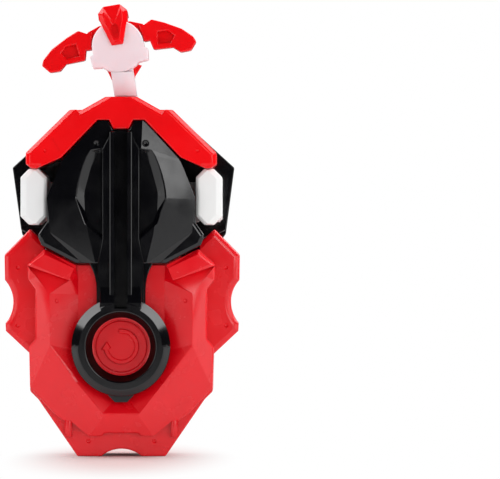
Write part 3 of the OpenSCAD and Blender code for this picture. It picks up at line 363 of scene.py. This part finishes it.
def on_surface(piece, x, z, side):
    """Place and normal of the surface at X and Z, seen from the front (side -1) or the back (side 1)."""
    _, spot, normal, _ = piece.ray_cast(Vector((x * MM, side * 0.2, z * MM)), Vector((0, -side, 0)))
    return spot, normal


def dimple(piece, x, z, radius, sink, side):
    """A ball that dents a piece at a place."""
    spot, normal = on_surface(piece, x, z, side)
    bpy.ops.object.select_all(action="DESELECT")
    bpy.ops.mesh.primitive_uv_sphere_add(segments=20, ring_count=12, radius=radius * MM,
                                         location=spot + normal * (radius - sink) * MM)
    return named("dimple_ball")


def dent(piece, places, radius, sink, side=-1):
    """Dents a piece at places right and left of the middle."""
    balls = [dimple(piece, x * turn, z, radius, sink, side) for x, z in places for turn in (1, -1)]
    add_to(*balls)
    carve(piece, balls[0])


def groove(piece, route, radius):
    """Presses a fine groove along a route in X and Z into the back of a piece."""
    spots = []
    for (x, z), (to_x, to_z) in zip(route, route[1:]):
        count = max(1, round(math.dist((x, z), (to_x, to_z)) / 1.5))
        for share in [i / count for i in range(count)]:
            spots.append(on_surface(piece, x + (to_x - x) * share, z + (to_z - z) * share, 1)[0])
    curve = bpy.data.curves.new("groove_cutter", "CURVE")
    curve.dimensions = "3D"
    curve.bevel_depth = radius * MM
    curve.bevel_resolution = 1
    curve.use_fill_caps = True
    line = curve.splines.new("POLY")
    line.points.add(len(spots) - 1)
    for point, spot in zip(line.points, spots):
        point.co = (*spot, 1)
    cutter = bpy.data.objects.new("groove_cutter", curve)
    bpy.context.scene.collection.objects.link(cutter)
    take(cutter)
    bpy.ops.object.convert(target="MESH")
    carve(piece, bpy.context.active_object)


def carve(piece, cutter):
    """Cuts one piece with another, which is used up, and keeps the new edges crisp."""
    take(piece)
    bpy.ops.object.modifier_add(type="BOOLEAN")
    cut = piece.modifiers[-1]
    cut.operation = "DIFFERENCE"
    cut.solver = "EXACT"
    cut.object = cutter
    bpy.ops.object.modifier_apply(modifier=cut.name)
    bpy.data.objects.remove(cutter)
    mesh = piece.data
    edges = {edge_key(*edge.vertices): edge for edge in mesh.edges}
    for key, ((one, _, _), (other, _, _)) in edge_sides(mesh).items():
        if one.angle(other, 0) > CRISP_TURN:
            edges[key].use_edge_sharp = True


def finish_piece(piece, material, body):
    piece.data.materials.clear()
    piece.data.materials.append(material)
    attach(piece, body)


# Finishes, with the scale of their noises in features per metre

COLOUR_DRIFT = 45
GLOSS_DRIFT = 160
MOULD_SKIN = 700
BRUSH_MARKS = 1500
CORD_STRANDS = 420
EVEN = (1, 1, 1)
TURNED = (1, 0.05, 1)


def new_material(name):
    material = bpy.data.materials.new(name)
    material.use_nodes = True
    nodes, links = material.node_tree.nodes, material.node_tree.links
    return material, nodes, links, nodes["Principled BSDF"]


def object_noise(nodes, links, scale, detail=3.0, stretch=EVEN):
    """Noise on Object coordinates, with the scale in features per metre."""
    place = nodes.new("ShaderNodeTexCoord")
    turn = nodes.new("ShaderNodeMapping")
    turn.inputs["Scale"].default_value = stretch
    grain = nodes.new("ShaderNodeTexNoise")
    grain.inputs["Scale"].default_value = scale
    grain.inputs["Detail"].default_value = detail
    links.new(place.outputs["Object"], turn.inputs["Vector"])
    links.new(turn.outputs["Vector"], grain.inputs["Vector"])
    return grain.outputs["Fac"]


def remap(nodes, links, value, low, high):
    """Spreads the middle of a noise between two values."""
    spread = nodes.new("ShaderNodeMapRange")
    spread.inputs["From Min"].default_value = 0.3
    spread.inputs["From Max"].default_value = 0.7
    spread.inputs["To Min"].default_value = low
    spread.inputs["To Max"].default_value = high
    links.new(value, spread.inputs["Value"])
    return spread.outputs["Result"]


def moulded_plastic(name, base, drift_to, rough, specular, ripple, glow=0.0):
    """Injection-moulded plastic: a faint drift of colour and gloss, and the ripple of the mould skin."""
    material, nodes, links, skin = new_material(name)
    tint = nodes.new("ShaderNodeMix")
    tint.data_type = "RGBA"
    tint.inputs["A"].default_value = (*base, 1)
    tint.inputs["B"].default_value = (*drift_to, 1)
    drift = object_noise(nodes, links, COLOUR_DRIFT)
    links.new(remap(nodes, links, drift, 0, 1), tint.inputs["Factor"])
    links.new(tint.outputs["Result"], skin.inputs["Base Color"])
    gloss = object_noise(nodes, links, GLOSS_DRIFT, 4)
    links.new(remap(nodes, links, gloss, rough[0], rough[1]), skin.inputs["Roughness"])
    skin.inputs["Specular IOR Level"].default_value = specular
    if glow:
        skin.inputs["Subsurface Weight"].default_value = glow
        skin.inputs["Subsurface Radius"].default_value = (1.0, 0.6, 0.6)
        skin.inputs["Subsurface Scale"].default_value = 3 * MM
    fine = object_noise(nodes, links, MOULD_SKIN, 2)
    bump = nodes.new("ShaderNodeBump")
    bump.inputs["Strength"].default_value = ripple
    bump.inputs["Distance"].default_value = 0.05 * MM
    links.new(fine, bump.inputs["Height"])
    links.new(bump.outputs["Normal"], skin.inputs["Normal"])
    return material


def metal(name, base, rough, stretch=EVEN):
    """Plated or turned metal with fine brush marks."""
    material, nodes, links, skin = new_material(name)
    skin.inputs["Metallic"].default_value = 1.0
    marks = object_noise(nodes, links, BRUSH_MARKS, 2, stretch)
    tint = nodes.new("ShaderNodeMix")
    tint.data_type = "RGBA"
    tint.inputs["A"].default_value = (*base, 1)
    tint.inputs["B"].default_value = (*[0.8 * c for c in base], 1)
    links.new(remap(nodes, links, marks, 0, 1), tint.inputs["Factor"])
    links.new(tint.outputs["Result"], skin.inputs["Base Color"])
    links.new(remap(nodes, links, marks, rough[0], rough[1]), skin.inputs["Roughness"])
    return material


def twisted_cord(name, base):
    """Twisted string: slanted strands along the run, on Object coordinates."""
    material, nodes, links, skin = new_material(name)
    place = nodes.new("ShaderNodeTexCoord")
    turn = nodes.new("ShaderNodeMapping")
    turn.inputs["Rotation"].default_value = (0, math.radians(35), 0)
    strands = nodes.new("ShaderNodeTexWave")
    strands.inputs["Scale"].default_value = CORD_STRANDS
    strands.inputs["Distortion"].default_value = 1.2
    links.new(place.outputs["Object"], turn.inputs["Vector"])
    links.new(turn.outputs["Vector"], strands.inputs["Vector"])
    tint = nodes.new("ShaderNodeMix")
    tint.data_type = "RGBA"
    tint.inputs["A"].default_value = (*[0.7 * c for c in base], 1)
    tint.inputs["B"].default_value = (*base, 1)
    links.new(strands.outputs["Fac"], tint.inputs["Factor"])
    links.new(tint.outputs["Result"], skin.inputs["Base Color"])
    skin.inputs["Roughness"].default_value = 0.8
    bump = nodes.new("ShaderNodeBump")
    bump.inputs["Strength"].default_value = 0.6
    bump.inputs["Distance"].default_value = 0.1 * MM
    links.new(strands.outputs["Fac"], bump.inputs["Height"])
    links.new(bump.outputs["Normal"], skin.inputs["Normal"])
    return material


red = moulded_plastic("red_plastic", base=(0.75, 0.001, 0.008), drift_to=(0.68, 0.001, 0.006),
                      rough=(0.2, 0.3), specular=0.5, ripple=0.08)
bright_red = moulded_plastic("bright_red_plastic", base=(0.86, 0.001, 0.004),
                             drift_to=(0.76, 0.001, 0.003), rough=(0.16, 0.22), specular=0.3, ripple=0.06)
black = moulded_plastic("black_plastic", base=(0.0012, 0.0012, 0.002), drift_to=(0.002, 0.002, 0.003),
                        rough=(0.12, 0.2), specular=0.5, ripple=0.06)
dull_black = moulded_plastic("dull_black_plastic", base=(0.001, 0.001, 0.0015),
                             drift_to=(0.002, 0.002, 0.002), rough=(0.5, 0.6), specular=0.08, ripple=0.06)
white = moulded_plastic("white_plastic", base=(0.81, 0.81, 0.80), drift_to=(0.76, 0.76, 0.76),
                        rough=(0.3, 0.4), specular=0.4, ripple=0.06)
cool_white = moulded_plastic("disc_plastic", base=(0.74, 0.75, 0.84), drift_to=(0.70, 0.71, 0.81),
                             rough=(0.28, 0.38), specular=0.4, ripple=0.06)
milky = moulded_plastic("milky_plastic", base=(0.86, 0.74, 0.77), drift_to=(0.83, 0.69, 0.73),
                        rough=(0.3, 0.4), specular=0.4, ripple=0.05, glow=0.4)
steel = metal("plated_steel", base=(0.62, 0.62, 0.65), rough=(0.22, 0.36))
dark_steel = metal("black_screw_steel", base=(0.06, 0.055, 0.055), rough=(0.3, 0.45))
blued = metal("spring_steel", base=(0.25, 0.27, 0.33), rough=(0.3, 0.4), stretch=TURNED)
brass = metal("turned_brass", base=(0.75, 0.55, 0.25), rough=(0.25, 0.35), stretch=TURNED)
string = twisted_cord("string_cord", base=(0.86, 0.86, 0.82))

# Pieces that are finished copies of the CAD solids: node, name, body, slot, finish, edge width
MOULDINGS = [
    ("body_front_shell", "grip_front", "grip_body", "red_plastic", red, 0.45),
    ("body_rear_shell", "grip_rear", "grip_body", "red_plastic", red, 0.45),
    ("head_front_plate", "front_plate", "head", "black_plastic", black, 0.3),
    ("head_rear_housing", "rear_housing", "head", "black_plastic", black, 0.35),
    ("top_cap", "cap", "head", "red_plastic", bright_red, 0.4),
    ("inner_frame", "posts_and_frame", "head", "white_plastic", white, 0.3),
    ("launch_disc", "disc", "launch_disc", "white_plastic", cool_white, 0.2),
    ("handle_wings", "handle_grips", "handle", "red_plastic", bright_red, 0.45),
    ("handle_core_front", "core_front", "handle", "milky_plastic", milky, 0.25),
    ("handle_core_rear", "core_rear", "handle", "milky_plastic", milky, 0.25),
    ("handle_keel_front", "keel_front", "handle", "red_plastic", bright_red, 0.25),
    ("handle_keel_rear", "keel_rear", "handle", "red_plastic", bright_red, 0.25),
    ("body_screws", "casing_screws", "grip_body", "plated_steel", dark_steel, 0.08),
    ("head_screws", "head_plate_screws", "head", "plated_steel", dark_steel, 0.08),
    ("centre_screw", "disc_screw", "launch_disc", "plated_steel", steel, 0.1),
    ("centre_washer", "disc_washer", "launch_disc", "plated_steel", dark_steel, 0.08),
    ("string_eyelet", "mouth_eyelet", "head", "plated_steel", steel, 0.1),
    ("handle_pin", "core_pin", "handle", "plated_steel", steel, 0.1),
]


# What the mould leaves in and on the pieces: places in X and Z, and all other lengths, in millimetres

CASING_DOTS = [(34.8, 62.8), (34.9, 43.4), (21.3, 51.8), (11, 5)]
CAP_DOTS = [(25.3, 101.7)]
DOT_RADIUS, DOT_DEPTH = 0.8, 0.45
PLATE_DIMPLES = [(8.2, 104.1)]
DIMPLE_RADIUS, DIMPLE_DEPTH = 1.35, 0.8

POCKET = [(31.3, 63.6), (17.1, 58.6), (23.8, 54.2)]
POCKET_FOOT, POCKET_HEIGHT = 54.2, 9.4
POCKET_FLOOR_Y, POCKET_DEEPENS = -17.9, 3.4
FOOT_STEP_X = (16.4, 18.8)
FOOT_STEP_Z = (6.6, 13.4)
GROOVE_RADIUS = 0.32
GROOVE = [(26.0, 56.1), (26.0, 39.4), (25.3, 36.2), (22.8, 31.2), (18.2, 26.3), (17.4, 23.6),
          (19.0, 21.1), (21.2, 19.7), (20.4, 16.7), (15.7, 12.9), (10.8, 9.0), (8.0, 8.5)]

RING_CUT = [(13.7, -22.5), (16.7, -19.5), (19, -19.5), (19, -24), (13.7, -24)]
RING_ARCS = ((3, 62), (118, 177))
CONE_RADIUS, CONE_MOUTH_Y = 11.62, -22.4

CAP_SEAM = [(-22.9, 105.7), (-22.7, 105.8), (-20.3, 101.7), (-20.5, 101.6)]
CAP_RIB = ((-13, -12.75, 107.5), (13, -12.0, 112.6))

HOUSING_CORNER_X, HOUSING_CORNER_TOP, HOUSING_DRAWS_IN = 34.2, 90, 1.4
SLOT_X, SLOT_HALF_WIDTH, SLOT_HALF_HEIGHT = 31.2, 1.0, 4.8
# Depth of the black strips that paint the shade inside the window slots (painted shade)
SLOT_SHADE_Y = (8.2, 8.7)

KEEL_HOLE_X, KEEL_HOLE_Z = -2.4, 142.4
KEEL_HOLE_HALF_WIDTH, KEEL_HOLE_HALF_HEIGHT = 1.3, 1.75
SCREW_HEAD_SHARE = 0.78
NECK = [(-2.5, 120.3), (4.9, 120.3), (3.8, 128.2), (-3.6, 128.2)]
SKIRT_WAVE = [(6.4, 130.8), (4.2, 131.4), (2.0, 132.2), (-0.7, 131.6), (-2.9, 130.0), (-5.1, 129.3),
              (-3.3, 126.5), (4.0, 126.9)]

ARROW_OUTSIDE, ARROW_INSIDE = 5.9, 4.4
ARROW_TIP = [(7.0, -170), (5.15, -200), (3.3, -170)]
ARROW_BEVEL = 0.25


def foot_steps(piece, front, back):
    """Steps beside both feet, between two distances along Y."""
    steps = []
    for side in (1, -1):
        low, high = sorted(x * side for x in FOOT_STEP_X)
        steps.append(block("foot_step", (low, front, FOOT_STEP_Z[0]), (high, back, FOOT_STEP_Z[1])))
    add_to(piece, *steps)


def front_casing(piece):
    """Dots of the ejector pins, shoulder pockets that deepen upwards, and the steps beside the feet."""
    dent(piece, CASING_DOTS, DOT_RADIUS, DOT_DEPTH)
    for side in (1, -1):
        pocket = prism("pocket_cutter", [(x * side, z) for x, z in POCKET], -25, -15)
        for v in pocket.data.vertices:
            if v.co.y > -20 * MM:
                height = (v.co.z / MM - POCKET_FOOT) / POCKET_HEIGHT
                v.co.y = (POCKET_FLOOR_Y + POCKET_DEEPENS * height) * MM
        carve(piece, pocket)
    foot_steps(piece, -15.2, -12.6)


def rear_casing(piece):
    """Dots, the fine groove outside the ridges, and the steps beside the feet."""
    dent(piece, CASING_DOTS, DOT_RADIUS, DOT_DEPTH, side=1)
    for side in (1, -1):
        groove(piece, [(x * side, z) for x, z in GROOVE], GROOVE_RADIUS)
    foot_steps(piece, 6.6, 9.2)


def plate_details(piece):
    """Dimples beside the arm, and the wide slanted arcs on the upper half of the ring."""
    dent(piece, PLATE_DIMPLES, DIMPLE_RADIUS, DIMPLE_DEPTH)
    for start, end in RING_ARCS:
        carve(piece, turned("arc_cutter", RING_CUT, (0, DRUM_Z), start, end, 24))


def dull_cone(piece):
    """The inner wall of the ring has the dull skin that a mould leaves in a deep hole."""
    piece.data.materials.append(dull_black)
    for face in piece.data.polygons:
        middle = face.center / MM
        if math.hypot(middle.x, middle.z - DRUM_Z) < CONE_RADIUS and middle.y > CONE_MOUTH_Y:
            face.material_index = 1


def cap_details(piece):
    """Dots and a faint seam on the arms, and the inner rib that closes the cap behind the plate."""
    dent(piece, CAP_DOTS, DOT_RADIUS, DOT_DEPTH)
    carve(piece, prism("seam_cutter", CAP_SEAM, -19, -17.95))
    add_to(piece, block("cap_rib", *CAP_RIB))


def narrow_housing(piece):
    """The lower corners of the housing draw in."""
    for v in piece.data.vertices:
        if abs(v.co.x) > HOUSING_CORNER_X * MM and v.co.z < HOUSING_CORNER_TOP * MM:
            v.co.x -= math.copysign(HOUSING_DRAWS_IN * MM, v.co.x)


def housing_details(piece):
    """Black strips at the bottom of the slots in the windows: painted shade, a dark sheet where the slots'
    depth lies in shadow.
    """
    strips = []
    for x in (SLOT_X, -SLOT_X):
        strips.append(block("slot_shade_strip",
                            (x - SLOT_HALF_WIDTH, SLOT_SHADE_Y[0], DISC_Z - SLOT_HALF_HEIGHT),
                            (x + SLOT_HALF_WIDTH, SLOT_SHADE_Y[1], DISC_Z + SLOT_HALF_HEIGHT)))
    add_to(piece, *strips)


def keel_hole(piece, front, back):
    """Oval hole in a keel."""
    oval = [(KEEL_HOLE_X + KEEL_HOLE_HALF_WIDTH * math.cos(a),
             KEEL_HOLE_Z + KEEL_HOLE_HALF_HEIGHT * math.sin(a))
            for a in [i * math.pi / 12 for i in range(24)]]
    carve(piece, prism("oval_cutter", oval, front, back))


def slimmer_heads(piece):
    """The screw heads are narrower than their wells."""
    groups = {}
    for v in piece.data.vertices:
        groups.setdefault((round(v.co.x / (20 * MM)), v.co.z > 45 * MM), []).append(v)
    for found in groups.values():
        x = (min(v.co.x for v in found) + max(v.co.x for v in found)) / 2
        z = (min(v.co.z for v in found) + max(v.co.z for v in found)) / 2
        for v in found:
            v.co.x = x + (v.co.x - x) * SCREW_HEAD_SHARE
            v.co.z = z + (v.co.z - z) * SCREW_HEAD_SHARE


def front_core(piece):
    """The neck lies flush with the front of the core above the cap."""
    add_to(piece, prism("neck_pad", NECK, -8.19, -6))


def red_skirt(piece):
    """The skirt laps over the rear of the core with a wavy upper edge and a fine upright rib."""
    rib = block("skirt_rib", (1.8, 2.2, 127.2), (2.2, 2.8, 131.8))
    add_to(piece, prism("skirt_front", SKIRT_WAVE, 1.6, 2.6), rib)


def rotation_arrow(name, front, back):
    """Arrow round a circle, raised on the casing, which runs clockwise as the front shows it."""
    def at(radius, angle):
        lean = math.radians(angle)
        return (radius * math.cos(lean), DRUM_Z + radius * math.sin(lean))
    bend = range(100, -180, -10)
    outline = [at(ARROW_OUTSIDE, angle) for angle in bend] + [at(*corner) for corner in ARROW_TIP]
    outline += [at(ARROW_INSIDE, angle) for angle in reversed(bend)]
    arrow = prism(name, outline, front, back)
    bpy.ops.object.modifier_add(type="BEVEL")
    arrow.modifiers[-1].width = ARROW_BEVEL * MM
    arrow.modifiers[-1].limit_method = "ANGLE"
    arrow.modifiers[-1].use_clamp_overlap = True
    bpy.ops.object.modifier_apply(modifier=arrow.modifiers[-1].name)
    finish_piece(arrow, red, "grip_body")


BEFORE_ROUNDING = {"rear_housing": narrow_housing, "casing_screws": slimmer_heads}
DETAILS = {
    "grip_front": front_casing, "grip_rear": rear_casing, "front_plate": plate_details,
    "cap": cap_details, "rear_housing": housing_details, "core_front": front_core,
    "handle_grips": red_skirt, "keel_front": lambda piece: keel_hole(piece, -12, -9.45),
    "keel_rear": lambda piece: keel_hole(piece, 3.45, 6),
}
made = {}
for node, name, body, slot, finish, width in MOULDINGS:
    piece = moulding(node, name)
    if name in BEFORE_ROUNDING:
        BEFORE_ROUNDING[name](piece)
    round_edges(piece, width)
    if name in DETAILS:
        DETAILS[name](piece)
    shade(piece)
    finish_piece(piece, finish, body)
    made[name] = piece
dull_cone(made["front_plate"])
rotation_arrow("front_arrow", -15.7, -14.9)
rotation_arrow("rear_arrow", 8.9, 9.7)

# Inner pieces keep their CAD shapes and get a finish
INNER = {
    "string_drum": (white, "white_plastic"), "drum_gear": (white, "white_plastic"),
    "idler_gear": (white, "white_plastic"), "output_gear": (white, "white_plastic"),
    "drum_axle": (steel, "plated_steel"), "idler_axle": (steel, "plated_steel"),
    "disc_shaft": (steel, "plated_steel"), "shaft_clip": (steel, "plated_steel"),
    "guide_pin": (steel, "plated_steel"), "shaft_bush": (brass, "brass"),
    "return_spring": (blued, "spring_steel"), "spring_cover": (black, "black_plastic"),
    "wound_string": (string, "cord"), "string_guide_run": (string, "cord"),
    "string_knot": (string, "cord"),
}
for node, (finish, slot) in INNER.items():
    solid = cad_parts[node]
    solid.data.materials.clear()
    solid.data.materials.append(finish)


# The two straight runs of the string, with rings along them

STRING_RADIUS = 0.6 * MM
STRING_RINGS = 24


def string_run(name, node, leans=False):
    """A run of the string between two bodies; one that leans ends at X = 0."""
    low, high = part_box(node)
    middle = (low + high) / 2
    length = high.z - low.z
    bpy.ops.object.select_all(action="DESELECT")
    bpy.ops.mesh.primitive_circle_add(vertices=16, radius=STRING_RADIUS, fill_type="NGON",
                                      location=(middle.x, middle.y, low.z))
    run = named(name)
    edit(run)
    for _ in range(STRING_RINGS):
        bpy.ops.mesh.extrude_region_move(TRANSFORM_OT_translate={"value": (0, 0, length / STRING_RINGS)})
    bpy.ops.mesh.select_all(action="SELECT")
    bpy.ops.mesh.normals_make_consistent(inside=False)
    close()
    if leans:
        foot = low.x + STRING_RADIUS
        for v in run.data.vertices:
            share = (v.co.z - low.z) / length
            v.co.x += foot * (1 - share) - middle.x
    run.data.materials.append(string)
    take(run)
    bpy.ops.object.shade_smooth_by_angle(angle=math.radians(60))
    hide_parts(node)
    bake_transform(run)


string_run("string_from_drum", "string_lower_run", leans=True)
string_run("string_to_handle", "string_outer_run")


# Stage, lamps and camera

# Camera of the photograph's front view: level, and aside so that the object stands left in the frame
CAMERA_PLACE = (0.0428, -1.312, 0.0722)
CAMERA_LENS = 280.8
CAMERA_SENSOR = 36
CAMERA_REACH = 50

FLOOR_SIZE = 1.6
PAPER_TO_OBJECT = (0.72, 0.72, 0.72, 1)
# Paper tone that the camera sees round the feet: darker and pink, a painted shadow and painted red bounce
# light
SHADOW_AND_BOUNCE_PAPER = (0.54, 0.42, 0.415, 1)
SHADOW_STRETCH = (3.0, 1, 1)
SHADOW_SHIFT = (0, 0.03, 0)
SHADOW_FADE = (0.02, 0.12)
ROOM_LIGHT = 0.5
DARK_WALL = 0.015
AIM = Vector((0, 0, 0.075))

# Lamp panels: turn from the front to the right and rise in degrees, distance, size, brightness
SOFTBOXES = {
    "left_box": (-50, 3, 1.3, (0.5, 0.75), 2.2),
    "right_box": (48, 3, 1.3, (0.5, 0.75), 2.4),
    "left_top_box": (-103, 44, 1.3, (1.0, 0.95), 4.8),
    "right_top_box": (103, 44, 1.3, (1.0, 0.95), 5.0),
    "right_front_box": (20, 14, 1.3, (0.34, 0.44), 5.0),
    "right_low_card": (18.5, -2.5, 1.3, (0.24, 0.14), 0.9),
    "left_low_card": (-20, -5, 1.3, (0.24, 0.1), 0.5),
    "rear_left_box": (-130, 8, 1.3, (0.5, 0.75), 1.5),
    "rear_right_box": (132, 8, 1.3, (0.5, 0.75), 1.2),
    "rear_top_box": (196, 20, 1.4, (0.55, 0.3), 1.5),
}


def studio_floor():
    """White paper with the lamps' soft shadow round the feet, darkened and tinted pink there for the
    camera as painted shadow and painted red bounce light, and plain white farther off.
    """
    bpy.ops.object.select_all(action="DESELECT")
    bpy.ops.mesh.primitive_plane_add(size=FLOOR_SIZE, location=(0, 0, 0))
    floor = named("studio_floor")
    material, nodes, links, skin = new_material("floor_paper")
    nodes.remove(skin)
    paper = nodes.new("ShaderNodeBsdfDiffuse")
    path = nodes.new("ShaderNodeLightPath")
    tone = nodes.new("ShaderNodeMix")
    tone.data_type = "RGBA"
    tone.inputs["A"].default_value = PAPER_TO_OBJECT
    # Camera rays get the darker pink tone: painted shadow and painted red bounce light
    tone.inputs["B"].default_value = SHADOW_AND_BOUNCE_PAPER
    links.new(path.outputs["Is Camera Ray"], tone.inputs["Factor"])
    links.new(tone.outputs["Result"], paper.inputs["Color"])
    lift = nodes.new("ShaderNodeEmission")
    lift.inputs["Strength"].default_value = 1.0
    place = nodes.new("ShaderNodeTexCoord")
    oval = nodes.new("ShaderNodeMapping")
    oval.inputs["Scale"].default_value = SHADOW_STRETCH
    oval.inputs["Location"].default_value = SHADOW_SHIFT
    links.new(place.outputs["Object"], oval.inputs["Vector"])
    away = nodes.new("ShaderNodeVectorMath")
    away.operation = "LENGTH"
    links.new(oval.outputs["Vector"], away.inputs[0])
    share = nodes.new("ShaderNodeMapRange")
    share.interpolation_type = "SMOOTHSTEP"
    share.inputs["From Min"].default_value = SHADOW_FADE[0]
    share.inputs["From Max"].default_value = SHADOW_FADE[1]
    links.new(away.outputs["Value"], share.inputs["Value"])
    seen = nodes.new("ShaderNodeMath")
    seen.operation = "MULTIPLY"
    links.new(path.outputs["Is Camera Ray"], seen.inputs[0])
    links.new(share.outputs["Result"], seen.inputs[1])
    blend = nodes.new("ShaderNodeMixShader")
    links.new(seen.outputs[0], blend.inputs["Fac"])
    links.new(paper.outputs[0], blend.inputs[1])
    links.new(lift.outputs[0], blend.inputs[2])
    facing = nodes.new("ShaderNodeNewGeometry")
    clear = nodes.new("ShaderNodeBsdfTransparent")
    under = nodes.new("ShaderNodeMixShader")
    links.new(facing.outputs["Backfacing"], under.inputs["Fac"])
    links.new(blend.outputs[0], under.inputs[1])
    links.new(clear.outputs[0], under.inputs[2])
    links.new(under.outputs[0], nodes["Material Output"].inputs["Surface"])
    floor.data.materials.append(material)


def studio_world():
    """White behind the object, soft room light on it, and dark walls where its gloss reflects."""
    world = bpy.data.worlds.new("studio_world")
    bpy.context.scene.world = world
    world.use_nodes = True
    world.cycles.sampling_method = "NONE"
    nodes, links = world.node_tree.nodes, world.node_tree.links
    room = nodes["Background"]
    path = nodes.new("ShaderNodeLightPath")
    shaders = [room]
    for strength in (DARK_WALL, 1.0):
        shade_of = nodes.new("ShaderNodeBackground")
        shade_of.inputs["Color"].default_value = (1, 1, 1, 1)
        shade_of.inputs["Strength"].default_value = strength
        shaders.append(shade_of)
    room.inputs["Color"].default_value = (1, 1, 1, 1)
    room.inputs["Strength"].default_value = ROOM_LIGHT
    result = shaders[0]
    for ray, shader in (("Is Glossy Ray", shaders[1]), ("Is Camera Ray", shaders[2])):
        blend = nodes.new("ShaderNodeMixShader")
        links.new(path.outputs[ray], blend.inputs["Fac"])
        links.new(result.outputs[0], blend.inputs[1])
        links.new(shader.outputs[0], blend.inputs[2])
        result = blend
    links.new(result.outputs[0], nodes["World Output"].inputs["Surface"])


def softbox(name, turn, rise, distance, size, glow):
    """Lamp panel that faces the object from a turn and a rise."""
    data = bpy.data.lights.new(name, "AREA")
    data.shape = "RECTANGLE"
    data.size, data.size_y = size
    data.energy = glow * math.pi * size[0] * size[1]
    lamp = bpy.data.objects.new(name, data)
    bpy.context.scene.collection.objects.link(lamp)
    turn, rise = math.radians(turn), math.radians(rise)
    way = Vector((math.sin(turn) * math.cos(rise), -math.cos(turn) * math.cos(rise), math.sin(rise)))
    lamp.location = AIM + way * distance
    lamp.rotation_euler = way.to_track_quat("Z", "Y").to_euler()


studio_floor()
studio_world()
for name, place in SOFTBOXES.items():
    softbox(name, *place)

camera_data = bpy.data.cameras.new("photo_camera")
camera_data.lens = CAMERA_LENS
camera_data.sensor_width = CAMERA_SENSOR
camera_data.clip_end = CAMERA_REACH
camera = bpy.data.objects.new("photo_camera", camera_data)
bpy.context.scene.collection.objects.link(camera)
camera.location = CAMERA_PLACE
camera.rotation_euler = (math.radians(90), 0, 0)
bpy.context.scene.camera = camera
bpy.context.scene.view_settings.view_transform = "Standard"
